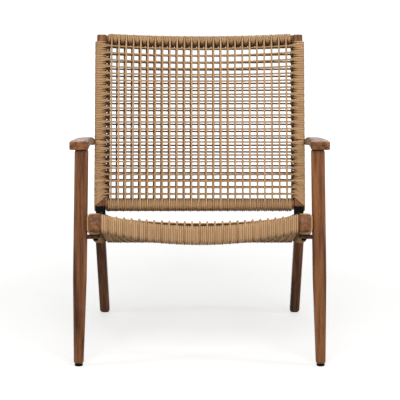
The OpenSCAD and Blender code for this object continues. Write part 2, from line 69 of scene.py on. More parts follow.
# The back and the seat are each drawn in a frame of their own, as in the construction model.
RECLINE = math.radians(22.6)
SEAT_PITCH = math.radians(14.8)
POST_FOOT_Y, POST_FOOT_Z = 438.3 * MM, 322 * MM
BACK = (Matrix.Translation((0, LEG_Y + POST_FOOT_Y, POST_FOOT_Z))
        @ Matrix.Rotation(-RECLINE, 4, "X"))
SEAT = Matrix.Translation((0, LEG_Y - 60 * MM, 382 * MM)) @ Matrix.Rotation(-SEAT_PITCH, 4, "X")

# The rear leg leans from its foot to the pivot of the bracket under the post, and a little outwards.
PIVOT_DROP = 26 * MM
PIVOT_Y = POST_FOOT_Y - PIVOT_DROP * math.sin(RECLINE)
PIVOT_Z = POST_FOOT_Z - PIVOT_DROP * math.cos(RECLINE)
REAR_FOOT_X, REAR_FOOT_Y, REAR_SPREAD = 259 * MM, 600 * MM, 7.9 * MM
REAR_RAKE = math.atan((REAR_FOOT_Y - PIVOT_Y) / PIVOT_Z)
REAR_LEN = PIVOT_Z / math.cos(REAR_RAKE)
REAR_LEG = (Matrix.Translation((REAR_FOOT_X, LEG_Y + REAR_FOOT_Y, 0))
            @ Matrix.Rotation(REAR_RAKE, 4, "X")
            @ Matrix.Rotation(math.atan(REAR_SPREAD / REAR_LEN), 4, "Y"))

# Armrests: their fall in millimetres, by the distance behind the front end and by its square.
ARM_FALL, ARM_CURVE = 0.1106, 0.0000939
ARM_FRONT_T, ARM_REAR_T = 22 * MM, 18 * MM

# Posts and rails: sections, and where they lie in their own frames.
POST_X, POST_W, POST_D, POST_R, POST_LEN = 263.5 * MM, 25.4 * MM, 30 * MM, 4 * MM, 473 * MM
POST_IN = POST_X - POST_W / 2
WRAP_TOP = 454 * MM
RAIL_D, RAIL_R = 39.2 * MM, 8 * MM
TOP_H, TOP_Z = 19 * MM, 461.5 * MM
LOW_H, LOW_Z = 22 * MM, 8 * MM
TOP_BOW = 28 * MM
SIDE_X, SIDE_W, SIDE_H, SIDE_R = 263.9 * MM, 28 * MM, 42 * MM, 6 * MM
SIDE_IN = SIDE_X - SIDE_W / 2
SEAT_RAIL_D = 24 * MM
FRONT_H, FRONT_Y, FRONT_Z = 39 * MM, 18 * MM, 1 * MM
REAR_H, REAR_Y, REAR_Z = 41 * MM, 480 * MM, 0.0
FRONT_DIP = 31 * MM

# Upright and front-to-rear strands: their count, and their pitch and shift on each face.
STRANDS = 25
BACK_PITCH_FRONT, BACK_PITCH_REAR, SEAT_PITCH_X = 19.5 * MM, 19.87 * MM, 19.1 * MM
BACK_SHIFT_FRONT, BACK_SHIFT_REAR = -2.2 * MM, -4.6 * MM

# Level rows of the back, from the top down. The front rows close up below the fourteenth, and their
# top ones sag. The top rear rows stand a little high.
BACK_ROWS, WIDE_STEPS = 23, 13
FRONT_FIRST, FRONT_STEP, FRONT_LOW_STEP = 441.4, 19.15, 17.6
REAR_FIRST, REAR_STEP, REAR_RISE, REAR_RISE_STEP = 440.4, 18.97, 5, 1.2
SAG, SAG_ROWS, SAG_FADE = 4.7, 6, 4
FRONT_ROWS = [(FRONT_FIRST - FRONT_STEP * min(i, WIDE_STEPS)
               - FRONT_LOW_STEP * max(0, i - WIDE_STEPS)) * MM for i in range(BACK_ROWS)]
REAR_ROWS = [(REAR_FIRST - REAR_STEP * i + max(0, REAR_RISE - REAR_RISE_STEP * i)) * MM
             for i in range(BACK_ROWS)]
FRONT_SAG = [SAG * min(1, max(0, (SAG_ROWS - i) / SAG_FADE)) * MM for i in range(BACK_ROWS)]

# Side-to-side rows of the seat, from the front back.
SEAT_FIRST, SEAT_STEP, SEAT_ROW_COUNT = 46, 20.4, 21
SEAT_ROWS = [(SEAT_FIRST + SEAT_STEP * i) * MM for i in range(SEAT_ROW_COUNT)]

# How fast the weave pulls straight behind a bowed or dipped rail.
BOW_FADE = 4.5
DIP_AT_FIRST_ROW = 0.56

ARM_BOLT_Z = 180 * MM
WRAPS_PER_STRAND = 4
STEP_SHARE = 0.14  # share of a turn, at each end, in which the winding steps on to the next
RAIL_DRAW, POST_DRAW = 2.4, 4.5  # how sharply wraps draw together towards the weave
SUNK_SWELL = 0.2  # share of a post's swell that is left on the wrap between two strands

# Spread of a strand from its even place, and the range of tones of the turns and the strands.
WARP_DRIFT, WEFT_DRIFT = 0.35 * MM, 0.4 * MM
TURN_TONES, STRAND_TONES = (0.90, 1.05), (0.88, 1.12)

# How far strands stand proud of the windings beside them.
BACK_WARP_GAP, SEAT_WARP_GAP, WEFT_GAP = 0.9 * MM, 0.8 * MM, 0.5 * MM

# Painted shade: cord darkens where it is drawn in towards the weave, and on the side that faces into the
# closed weave, where the other layer shades it.
SUNK_SHADE, RAIL_SHADE, POST_SHADE = 0.82, 0.6, 0.42
INNER_SHADE_DEPTH, INNER_SHADE_GAIN, INNER_SHADE_START = 0.62, 0.9, 0.35


# ---- Sizes and colours that a user would change ----

class ChairSizes(PropertyGroup):
    cord: FloatProperty(
        name="Cord thickness", description="Thickness of the twisted paper cord",
        default=4.6 * MM, min=3 * MM, max=6 * MM, unit="LENGTH", precision=4)
    looseness: FloatProperty(
        name="Winding looseness", description="How far a turn of cord strays from its even place",
        default=0.12 * MM, min=0, max=1 * MM, unit="LENGTH", precision=5)
    wave: FloatProperty(
        name="Weave wave", description="How far a strand rises and falls at each crossing",
        default=0.7 * MM, min=0, max=2 * MM, unit="LENGTH", precision=5)
    leg_round: FloatProperty(
        name="Leg rounding", description="Radius of the long edges of the front legs",
        default=7 * MM, min=1 * MM, max=11 * MM, unit="LENGTH", precision=4)
    arm_round: FloatProperty(
        name="Armrest rounding", description="Radius of the armrests' edges",
        default=8 * MM, min=1 * MM, max=9 * MM, unit="LENGTH", precision=4)
    edge_round: FloatProperty(
        name="Other rounding", description="Radius of the edges of the other timber",
        default=4 * MM, min=1 * MM, max=6 * MM, unit="LENGTH", precision=4)
    cord_sides: IntProperty(
        name="Cord facets", description="Number of sides round a cord", default=7, min=5, max=12)


def colour_property(name, description, value):
    return FloatVectorProperty(name=name, description=description, default=value,
                               subtype="COLOR", size=3, min=0, max=1)


def linear(code):
    """An sRGB hex colour as linear red, green and blue."""
    parts = [int(code[i:i + 2], 16) / 255 for i in (1, 3, 5)]
    return tuple(c / 12.92 if c <= 0.04045 else ((c + 0.055) / 1.055) ** 2.4 for c in parts)


class ChairColours(PropertyGroup):
    wood_dark: colour_property("Wood, dark grain", "Darkest streaks of the stained timber", linear("#3E2412"))
    wood_mid: colour_property("Wood", "Body colour of the stained timber", linear("#7A5034"))
    wood_light: colour_property("Wood, light grain", "Lightest streaks of the timber", linear("#99683F"))
    cord: colour_property("Cord", "Colour of the paper cord", linear("#C9A57E"))
    # Painted shade: the darker colour laid into the grooves between the cord's plies.
    cord_groove_shade: colour_property("Cord groove", "Colour between the cord's plies", linear("#957350"))
    black: colour_property("Black fittings", "Powder-coated steel and plastic", linear("#060505"))
    zinc: colour_property("Zinc", "Plated steel fasteners", linear("#B4B6B8"))
    brass: colour_property("Brass", "Threaded inserts", linear("#B59A5C"))
    floor: colour_property("Floor", "Studio floor", linear("#B8B8B7"))


def sizes():
    return bpy.context.scene.chair_sizes


def colours():
    return bpy.context.scene.chair_colours


# ---- Working with meshes ----

def deselect():
    if bpy.context.object and bpy.context.object.mode != "OBJECT":
        bpy.ops.object.mode_set(mode="OBJECT")
    bpy.ops.object.select_all(action="DESELECT")


def only(piece):
    """Makes a piece the only one that is selected, and the active one."""
    deselect()
    piece.select_set(True)
    bpy.context.view_layer.objects.active = piece


def settle(piece, place):
    """Moves a piece from its own frame to the chair's, into its mesh."""
    only(piece)
    piece.matrix_world = place @ piece.matrix_world
    bpy.ops.object.transform_apply(location=True, rotation=True, scale=True)


def pick(piece, test):
    """In edit mode, selects the vertices that pass a test, with the faces between them."""
    bm = bmesh.from_edit_mesh(piece.data)
    for part in (bm.faces, bm.edges, bm.verts):
        for item in part:
            item.select = False
    bm.select_mode = {"VERT"}
    for vert in bm.verts:
        vert.select = test(vert.co)
    bm.select_flush_mode()
    bmesh.update_edit_mesh(piece.data)


def loft(name, stations, place):
    """Timber that grows from a flat blank through its stations.

    Each station is its centre x, y, z and its width and depth, with z rising from one to the next."""
    deselect()
    x, y, z, w, d = stations[0]
    bpy.ops.mesh.primitive_plane_add(size=1, location=(x, y, z))
    piece = bpy.context.object
    piece.name = piece.data.name = name
    piece.scale = (w, d, 1)
    bpy.ops.object.transform_apply(location=True, rotation=True, scale=True)
    bpy.ops.object.mode_set(mode="EDIT")
    bpy.ops.mesh.select_mode(type="VERT")
    bpy.ops.mesh.select_all(action="SELECT")
    for before, after in zip(stations, stations[1:]):
        step = tuple(after[i] - before[i] for i in range(3))
        bpy.ops.mesh.extrude_region_move(TRANSFORM_OT_translate={"value": step})
        bpy.ops.transform.resize(
            value=(after[3] / before[3], after[4] / before[4], 1), center_override=after[:3])
    bpy.ops.mesh.select_all(action="SELECT")
    bpy.ops.mesh.normals_make_consistent(inside=False)
    bpy.ops.object.mode_set(mode="OBJECT")
    settle(piece, place)
    return piece


def cut_off(piece, point, normal):
    """Saws a piece off at a plane, on the side that the normal points to."""
    only(piece)
    bpy.ops.object.mode_set(mode="EDIT")
    bpy.ops.mesh.select_all(action="SELECT")
    bpy.ops.mesh.bisect(plane_co=point, plane_no=normal, use_fill=True, clear_outer=True)
    bpy.ops.object.mode_set(mode="OBJECT")


def round_edges(piece, radius, segments=4, sharp=28):
    """Rounds every edge that is sharper than an angle, then smooths the shading across it."""
    only(piece)
    bevel = piece.modifiers.new("round", "BEVEL")
    bevel.width = radius
    bevel.segments = segments
    bevel.limit_method = "ANGLE"
    bevel.angle_limit = math.radians(sharp)
    bevel.use_clamp_overlap = True
    bpy.ops.object.modifier_apply(modifier="round")
    bpy.ops.object.shade_smooth_by_angle(angle=math.radians(35))


def mirrored(piece, name):
    """The left-hand copy of a right-hand piece, with its own mesh."""
    mesh = piece.data.copy()
    mesh.name = name
    mesh.transform(Matrix.Scale(-1, 4, (1, 0, 0)))
    mesh.flip_normals()
    twin = bpy.data.objects.new(name, mesh)
    bpy.context.collection.objects.link(twin)
    return twin


def finish_piece(piece, material, slot, *nodes):
    piece.data.materials.clear()
    piece.data.materials.append(material)
    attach(piece, "root")
    if nodes:
        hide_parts(*nodes)


def finish_pair(right, node, key, left_key=None):
    """Finishes a right-hand piece of timber, then its left-hand twin."""
    finish_piece(right, material(key), "wood", node + "_right")
    left = mirrored(right, right.name.replace("_right", "_left"))
    finish_piece(left, material(left_key or key), "wood", node + "_left")


# ---- Cords ----

def eased(share):
    """Turns an even share from 0 to 1 into one that starts and ends gently."""
    return share * share * (3 - 2 * share)


def arc_radius(half, rise):
    return (half * half + rise * rise) / (2 * rise)


def arc_rise(x, half, rise):
    """How far an arc stands off its chord at x, when its middle stands off by rise."""
    big = arc_radius(half, rise)
    return np.sqrt(big * big - np.square(x)) - big + rise


def bow(x):
    return arc_rise(x, POST_IN, TOP_BOW)


def dip(x):
    return arc_rise(np.clip(x, -SIDE_IN, SIDE_IN), SIDE_IN, FRONT_DIP)


def bow_share(z):
    """How much of the top rail's bow is left at a height: the tight wefts soon pull it straight."""
    return np.clip((z - LOW_Z) / (TOP_Z - LOW_Z), 0, 1) ** BOW_FADE


def dip_share(y):
    """How much of the front rail's dip is left behind it. The first weft already halves it."""
    start = FRONT_Y + 6 * MM
    past = DIP_AT_FIRST_ROW * (1 - (y - SEAT_ROWS[0]) / (REAR_Y - SEAT_ROWS[0]))
    rise = np.clip((y - start) / (SEAT_ROWS[0] - start), 0, 1)
    return np.where(y < SEAT_ROWS[0], 1 - (1 - DIP_AT_FIRST_ROW) * eased(rise), past)


def in_frame(matrix, points):
    turn = np.array(matrix.to_3x3())
    return points @ turn.T + np.array(matrix.translation)


def cord_mesh(name, runs, radius, sides, inward=None):
    """One mesh of round cords. A run is its centre points, a side direction that it never follows,
    and a tone for each point. The UV map runs along the cord in metres and once round it.
    The side of a woven cord that faces inward, into the closed weave, gets painted shade: a darker tone."""
    verts, faces, uvs, tones = [], [], [], []
    base = 0
    turn = np.linspace(0, 2 * math.pi, sides, endpoint=False)
    ring = np.arange(sides)
    for points, side, tone in runs:
        count = len(points)
        along = np.gradient(points, axis=0)
        along /= np.linalg.norm(along, axis=1)[:, None]
        side = np.broadcast_to(np.asarray(side, float), along.shape)
        across = side - (side * along).sum(1)[:, None] * along
        across /= np.linalg.norm(across, axis=1)[:, None]
        other = np.cross(along, across)
        outwards = (np.cos(turn)[None, :, None] * across[:, None]
                    + np.sin(turn)[None, :, None] * other[:, None])
        verts.append((points[:, None] + radius * outwards).reshape(-1, 3))
        tone = np.repeat(tone, sides)
        # Painted shade on the faces that point inward, into the closed weave.
        if inward is not None:
            facing = (outwards @ np.asarray(inward)).ravel()
            tone = tone * (1 - INNER_SHADE_DEPTH * np.clip(facing * INNER_SHADE_GAIN + INNER_SHADE_START, 0, 1))
        tones.append(tone)
        length = np.concatenate([[0], np.cumsum(np.linalg.norm(np.diff(points, axis=0), axis=1))])
        first = (np.arange(count - 1) * sides)[:, None]
        nxt = (ring + 1) % sides
        quads = np.stack([first + ring, first + nxt, first + sides + nxt, first + sides + ring], -1)
        faces += (quads.reshape(-1, 4) + base).tolist()
        u0 = np.repeat(length[:-1], sides)
        u1 = np.repeat(length[1:], sides)
        v0 = np.tile(ring / sides, count - 1)
        v1 = v0 + 1 / sides
        uvs.append(np.stack([u0, v0, u0, v1, u1, v1, u1, v0], -1).reshape(-1, 2))
        for start, order in ((0, ring[::-1]), ((count - 1) * sides, ring)):
            faces.append((base + start + order).tolist())
            uvs.append(np.stack([np.full(sides, length[0 if start == 0 else -1]), order / sides], -1))
        base += count * sides
    mesh = bpy.data.meshes.new(name)
    mesh.from_pydata(np.concatenate(verts), [], faces)
    layer = mesh.uv_layers.new(name="Cord")
    layer.data.foreach_set("uv", np.concatenate(uvs).astype(np.float32).ravel())
    tone_layer = mesh.attributes.new("tone", "FLOAT", "POINT")
    tone_layer.data.foreach_set("value", np.concatenate(tones).astype(np.float32))
    mesh.polygons.foreach_set("use_smooth", np.ones(len(mesh.polygons), bool))
    mesh.update()
    piece = bpy.data.objects.new(name, mesh)
    bpy.context.collection.objects.link(piece)
    return piece


def outline(w, h, r, start):
    """The way round a section with round corners, from the middle of its start side.

    Returns the points and their outward directions. The last point is the first again."""
    per_corner = 6
    points, outward = [], []
    for cx, cy, a0 in ((1, 1, 0), (-1, 1, 90), (-1, -1, 180), (1, -1, 270)):
        mid = math.radians(a0)
        side = (math.cos(mid), math.sin(mid))
        points.append((side[0] * w / 2, side[1] * h / 2))
        outward.append(side)
        for step in range(per_corner - 1):
            angle = math.radians(a0 + 90 / (per_corner - 2) * step)
            direction = (math.cos(angle), math.sin(angle))
            points.append((cx * (w / 2 - r) + r * direction[0], cy * (h / 2 - r) + r * direction[1]))
            outward.append(direction)
    points, outward = np.array(points), np.array(outward)
    first = per_corner * int(np.argmax(outward[::per_corner] @ np.array(start, float)))
    points = np.roll(points, -first, axis=0)
    outward = np.roll(outward, -first, axis=0)
    return np.vstack([points, points[:1]]), np.vstack([outward, outward[:1]])


def turns_between(strands, low, high):
    """Places of all turns of a winding: each strand's own, and the wraps between, out to both ends."""
    strands = sorted(strands)
    step = (strands[1] - strands[0]) / WRAPS_PER_STRAND
    last = (strands[-1] - strands[-2]) / WRAPS_PER_STRAND
    before = int((strands[0] - low) / step)
    after = int((high - strands[-1]) / last)
    places = [strands[0] - step * i for i in range(before, 0, -1)]
    kinds = [(-i) % WRAPS_PER_STRAND for i in range(before, 0, -1)]
    for a, b in zip(strands, strands[1:]):
        for i in range(WRAPS_PER_STRAND):
            places.append(a + (b - a) * i / WRAPS_PER_STRAND)
            kinds.append(i)
    places += [strands[-1] + last * i for i in range(after + 1)]
    kinds += [i % WRAPS_PER_STRAND for i in range(after + 1)]
    return np.array(places), np.array(kinds)


def near_face(a, b):
    """For wind: the whole turn follows the strands of the near face."""
    return np.zeros(len(a))


def wind(seed, mixing, section, panel, fan, near, far, span, spread=None, gather=1, swell=0.0):
    """Winds one cord round a rail, and returns its path as (along, a, b) points and their tones.

    section is the rail's width, depth and corner radius. panel is the side of it that faces the
    weave, where the winding steps from turn to turn. There the wraps draw together by fan, to their
    own middle where gather is 1 and to the strand where it is -1, and stand out by swell.
    near and far are the places of the strands on the two faces, and mixing is how far each point of
    the section follows far. span is the winding's two ends, and spread moves turns further along."""
    size = sizes()
    w, h, r = section
    cord_r = size.cord / 2
    dice = random.Random(seed)
    ring, outward = outline(w + size.cord, h + size.cord, r + cord_r, panel)
    a, b = ring[:, 0], ring[:, 1]
    near_at, kinds = turns_between(near, *span)
    far_at = near_at
    if far is not None:
        far_at = np.interp(near_at, sorted(near), sorted(far))
        far_at = np.where(near_at < min(near), near_at + min(far) - min(near), far_at)
        far_at = np.where(near_at > max(near), near_at + max(far) - max(near), far_at)
    blend = mixing(a, b)
    towards = np.clip((a * panel[0] / (w / 2) + b * panel[1] / (h / 2)) * 0.5 + 0.5, 0, 1)
    draw = towards ** (RAIL_DRAW if gather > 0 else POST_DRAW)
    t = np.linspace(0, 1, len(ring))
    into = np.clip(1 - t / STEP_SHARE, 0, 1)
    out = np.clip((t - 1 + STEP_SHARE) / STEP_SHARE, 0, 1)
    rest = (1 - into) * (1 - out)
    count = len(near_at)
    shake = [dice.gauss(0, size.looseness) for _ in range(count)]
    lift = [abs(dice.gauss(0, size.looseness)) for _ in range(count)]
    shade = [dice.uniform(*TURN_TONES) for _ in range(count)]
    pull = {0: 0.0, 1: gather, 2: 0.0, 3: -gather}
    sunk = 0 if gather > 0 else 2
    paths, tones = [], []
    for k in range(count):
        here = near_at[k] * (1 - blend) + far_at[k] * blend
        step_down = (near_at[k] - near_at[max(k - 1, 0)]) / 2
        step_up = (near_at[min(k + 1, count - 1)] - near_at[k]) / 2
        along = (here - step_down * eased(into) + step_up * eased(out)
                 + rest * (shake[k] + fan * pull[kinds[k]] * draw))
        if spread is not None:
            along = along + rest * spread(here, a, b)
        stand = lift[k] * rest + swell * draw * (SUNK_SWELL if kinds[k] == sunk else 1.0)
        grown = ring + outward * stand[:, None]
        last = len(ring) if k == count - 1 else len(ring) - 1
        paths.append(np.stack([along, grown[:, 0], grown[:, 1]], -1)[:last])
        # Painted shade: each turn darkens as it draws in towards the weave, the sunk wrap by SUNK_SHADE and
        # the others by RAIL_SHADE on rails and POST_SHADE on posts.
        depth = SUNK_SHADE if kinds[k] == sunk else RAIL_SHADE if gather > 0 else POST_SHADE
        tones.append((shade[k] * (1 - depth * draw))[:last])
    return np.concatenate(paths), np.concatenate(tones)


def corner(cx, cy, r, start, end, count=5):
    """Points on an arc in the plane of a section, from one angle to another in degrees."""
    angles = np.radians(np.linspace(start, end, count))
    return np.stack([cx + r * np.cos(angles), cy + r * np.sin(angles)], -1)


def crossing(at, rows):
    """1 where a strand crosses a row and -1 halfway between two rows."""
    rows = sorted(rows)
    phase = np.interp(at, rows, np.arange(len(rows)), left=-0.5, right=len(rows) - 0.5)
    return np.cos(2 * math.pi * phase)


# ---- Materials ----

def add_node(tree, kind, values=None, links=None, stops=()):
    """Adds a shader node, sets its options, its sockets and a ramp's stops, and links its sockets."""
    node = tree.nodes.new("ShaderNode" + kind)
    for key, value in (values or {}).items():
        if isinstance(key, str) and hasattr(node, key):
            setattr(node, key, value)
        else:
            node.inputs[key].default_value = value
    for key, source in (links or {}).items():
        tree.links.new(source, node.inputs[key])
    for _ in stops[2:]:
        node.color_ramp.elements.new(0.5)
    for i, (position, colour) in enumerate(stops):
        node.color_ramp.elements[i].position = position
        node.color_ramp.elements[i].color = (*colour, 1)
    return node


def new_material(name):
    material = bpy.data.materials.new(name)
    material.use_nodes = True
    tree = material.node_tree
    tree.nodes.clear()
    return material, tree


MULTIPLY = {"data_type": "RGBA", "blend_type": "MULTIPLY", 0: 1.0}


def lacquered_wood(name, turn, shift, tone=0.0, coat=0.03, depth=0.22):
    """Stained and clear-lacquered hardwood: long dark streaks along the member, a soft sheen.

    turn brings the grain's direction upright, shift gives each member its own streaks, tone darkens them as
    painted shade, or lightens them as painted light where it is below zero, and depth is the strength of the
    pores' relief.
    Real pores are 0.2 mm wide, and are drawn at 1 mm so that they show."""
    paint = colours()
    material, tree = new_material(name)
    place = add_node(tree, "TexCoord").outputs["Object"]
    upright = add_node(tree, "Mapping",
                       {"Rotation": (turn, 0, 0), "Location": (shift, shift * 2, 0)},
                       {"Vector": place}).outputs["Vector"]
    grain = {}
    for key, across, along, values in (
            ("streak", 11 * MM, 200 * MM, {"Detail": 5.0, "Roughness": 0.62, "Distortion": 0.5}),
            ("pore", 1.1 * MM, 28 * MM, {"Detail": 2.0, "Roughness": 0.5}),
            ("broad", 30 * MM, 500 * MM, {"Detail": 1.5})):
        at = add_node(tree, "Mapping", {"Scale": (1 / across, 1 / across, 1 / along)},
                      {"Vector": upright}).outputs["Vector"]
        grain[key] = add_node(tree, "TexNoise", {"Scale": 1.0, **values},
                              {"Vector": at}).outputs["Fac"]
    body = add_node(tree, "ValToRGB", links={"Fac": grain["streak"]}, stops=[
        (0.30 + tone, tuple(paint.wood_dark)), (0.50 + tone, tuple(paint.wood_mid)),
        (0.72 + tone, tuple(paint.wood_light))]).outputs["Color"]
    warm = add_node(tree, "ValToRGB", links={"Fac": grain["broad"]}, stops=[
        (0.35, (0.78, 0.74, 0.70)), (0.65, (1.14, 1.08, 1.0))]).outputs["Color"]
    dots = add_node(tree, "ValToRGB", links={"Fac": grain["pore"]}, stops=[
        (0.34, (0.62, 0.58, 0.55)), (0.46, (1, 1, 1))]).outputs["Color"]
    toned = add_node(tree, "Mix", MULTIPLY, {6: body, 7: warm}).outputs[2]
    final = add_node(tree, "Mix", {**MULTIPLY, 0: 0.7}, {6: toned, 7: dots}).outputs[2]
    gloss = add_node(tree, "MapRange",
                     {"From Min": 0.3, "From Max": 0.7, "To Min": 0.46, "To Max": 0.34},
                     {"Value": grain["streak"]}).outputs["Result"]
    relief = add_node(tree, "Bump", {"Strength": depth, "Distance": 0.4 * MM},
                      {"Height": grain["pore"]}).outputs["Normal"]
    shader = add_node(tree, "BsdfPrincipled",
                      {"IOR": 1.5, "Specular IOR Level": 0.15, "Coat Weight": coat,
                       "Coat Roughness": 0.55},
                      {"Base Color": final, "Roughness": gloss, "Normal": relief})
    add_node(tree, "OutputMaterial", links={"Surface": shader.outputs["BSDF"]})
    return material


def paper_cord(name):
    """Unbleached twisted paper cord: matt, three plies with grooves darkened by painted shade, each turn its
    own tone, and painted shade, browner, where its neighbours shade it.

    The plies turn once in 12 mm. Real grooves are 0.3 mm wide, and are drawn a third of a ply wide."""
    plies, twist, fibre_length, fibres_round = 3.0, 12 * MM, 6 * MM, 6.0
    green_fall, blue_fall = 1.12, 1.35
    paint = colours()
    material, tree = new_material(name)
    run = add_node(tree, "UVMap", {"uv_map": "Cord"}).outputs["UV"]
    parts = add_node(tree, "SeparateXYZ", links={"Vector": run})
    tone = add_node(tree, "Attribute", {"attribute_name": "tone"}).outputs["Fac"]
    place = add_node(tree, "TexCoord").outputs["Object"]
    length = add_node(tree, "Math", {"operation": "MULTIPLY", 1: plies / twist},
                      {0: parts.outputs["X"]}).outputs[0]
    both = add_node(tree, "Math", {"operation": "MULTIPLY_ADD", 1: plies},
                    {0: parts.outputs["Y"], 2: length}).outputs[0]
    wave = add_node(tree, "Math", {"operation": "PINGPONG", 1: 0.5}, {0: both}).outputs[0]
    ply = add_node(tree, "MapRange", {"From Min": 0.0, "From Max": 0.3},
                   {"Value": wave}).outputs["Result"]
    fibre_at = add_node(tree, "Mapping", {"Scale": (1 / fibre_length, fibres_round, 1.0)},
                        {"Vector": run}).outputs["Vector"]
    fibre = add_node(tree, "TexNoise", {"Scale": 1.0, "Detail": 3.0, "Roughness": 0.6},
                     {"Vector": fibre_at}).outputs["Fac"]
    patch = add_node(tree, "TexNoise", {"Scale": 14.0, "Detail": 2.0},
                     {"Vector": place}).outputs["Fac"]
    # Painted shade in the grooves between the plies, where ply is low.
    body = add_node(tree, "Mix",
                    {"data_type": "RGBA", 6: (*paint.cord_groove_shade, 1), 7: (*paint.cord, 1)},
                    {0: ply}).outputs[2]
    worn = add_node(tree, "ValToRGB", links={"Fac": fibre}, stops=[
        (0.30, (0.92, 0.90, 0.87)), (0.55, (1, 1, 1)), (0.8, (1.04, 1.04, 1.03))]).outputs["Color"]
    aged = add_node(tree, "ValToRGB", links={"Fac": patch}, stops=[
        (0.30, (0.93, 0.91, 0.89)), (0.70, (1.04, 1.03, 1.02))]).outputs["Color"]
    # The tone attribute holds each turn's own tone and the painted shade. Where it is low, green and blue
    # fall faster, so the painted shade comes out browner.
    green, blue = [add_node(tree, "Math", {"operation": "POWER", 1: fall},
                            {0: tone}).outputs[0] for fall in (green_fall, blue_fall)]
    final = add_node(tree, "CombineColor", links={0: tone, 1: green, 2: blue}).outputs["Color"]
    for layer in (aged, worn, body):
        final = add_node(tree, "Mix", MULTIPLY, {6: final, 7: layer}).outputs[2]
    height = add_node(tree, "Math", {"operation": "MULTIPLY_ADD", 1: 0.25},
                      {0: fibre, 2: ply}).outputs[0]
    relief = add_node(tree, "Bump", {"Strength": 0.3, "Distance": 0.4 * MM},
                      {"Height": height}).outputs["Normal"]
    shader = add_node(tree, "BsdfPrincipled",
                      {"IOR": 1.45, "Roughness": 0.8, "Specular IOR Level": 0.12},
                      {"Base Color": final, "Normal": relief})
    add_node(tree, "OutputMaterial", links={"Surface": shader.outputs["BSDF"]})
    return material


def fitting(name, colour, metallic, roughness, grain, depth, shine=0.5):
    """A fitting's finish: an even colour broken by a fine texture of one grain size."""
    material, tree = new_material(name)
    place = add_node(tree, "TexCoord").outputs["Object"]
    fine, wide = [add_node(tree, "TexNoise", {"Scale": scale, "Detail": detail},
                           {"Vector": place}).outputs["Fac"]
                  for scale, detail in ((1 / grain, 3.0), (1 / (25 * MM), 2.0))]
    tinted = add_node(tree, "ValToRGB", links={"Fac": wide}, stops=[
        (0.35, [c * 0.8 for c in colour]), (0.65, [min(1, c * 1.15) for c in colour])]).outputs["Color"]
    gloss = add_node(tree, "MapRange", {"To Min": roughness - 0.08, "To Max": roughness + 0.08},
                     {"Value": fine}).outputs["Result"]
    relief = add_node(tree, "Bump", {"Strength": depth, "Distance": 0.3 * MM},
                      {"Height": fine}).outputs["Normal"]
    shader = add_node(tree, "BsdfPrincipled",
                      {"Metallic": metallic, "Specular IOR Level": shine},
                      {"Base Color": tinted, "Roughness": gloss, "Normal": relief})
    add_node(tree, "OutputMaterial", links={"Surface": shader.outputs["BSDF"]})
    return material


MATERIALS = {}


def material(key):
    """Makes each finish once."""
    paint = colours()
    level = math.pi / 2
    makers = {
        # Painted shade and light: the left leg's tone darkens it and the right leg's lightens it, though both
        # are the same wood.
        "leg_left": lambda: lacquered_wood("lacquered_hardwood_left_leg", 0.0, 0.013, tone=0.05),
        "leg_right": lambda: lacquered_wood("lacquered_hardwood_right_leg", 0.0, 0.029, tone=-0.02),
        "arm": lambda: lacquered_wood("lacquered_hardwood_arms", level, 0.021, coat=0.1, depth=0.03),
        "post": lambda: lacquered_wood("lacquered_hardwood_posts", RECLINE, 0.032),
        # Painted shade: the rear legs, standing under the seat, get a darker tone.
        "rear_leg": lambda: lacquered_wood("lacquered_hardwood_rear_legs", -REAR_RAKE, 0.047,
                                           tone=0.06, coat=0.0),
        # Painted shade: the bearers, lying under the side rails, get a darker tone.
        "bearer": lambda: lacquered_wood("lacquered_hardwood_bearers", 0.0, 0.063, tone=0.12, coat=0.0),
        "side_rail": lambda: lacquered_wood("lacquered_hardwood_side_rails", level + SEAT_PITCH, 0.055),
        "cross_rail": lambda: lacquered_wood("lacquered_hardwood_cross_rails", 0.0, 0.071),
        "cord": lambda: paper_cord("twisted_paper_cord"),
        # Powder coat is matt with a fine orange-peel texture.
        "black_steel": lambda: fitting("powder_coated_steel", tuple(paint.black), 0.0, 0.55,
                                       1.2 * MM, 0.2, 0.04),
        # Zinc plate is a dull bright metal.
        "zinc_steel": lambda: fitting("zinc_plated_steel", tuple(paint.zinc), 1.0, 0.36, 2 * MM, 0.1),
        # Turned brass is yellow and fairly bright.
        "brass": lambda: fitting("turned_brass", tuple(paint.brass), 1.0, 0.30, 2 * MM, 0.1),
        # Moulded polyethylene is black with a low sheen.
        "glide_plastic": lambda: fitting("moulded_polyethylene", tuple(paint.black), 0.0, 0.5,
                                         1.5 * MM, 0.15, 0.06),
    }
    if key not in MATERIALS:
        MATERIALS[key] = makers[key]()
    return MATERIALS[key]


# ---- Operators: timber ----

def arm_height(y):
    """Height of the armrest's top at a place along it."""
    back = (y - ARM_LO.y) / MM
    return ARM_HI.z - (ARM_FALL * back + ARM_CURVE * back * back) * MM


def arm_thick(y):
    return ARM_FRONT_T + (ARM_REAR_T - ARM_FRONT_T) * (y - ARM_LO.y) / (ARM_HI.y - ARM_LO.y)


def arm_underside(y):
    return arm_height(y) - arm_thick(y)


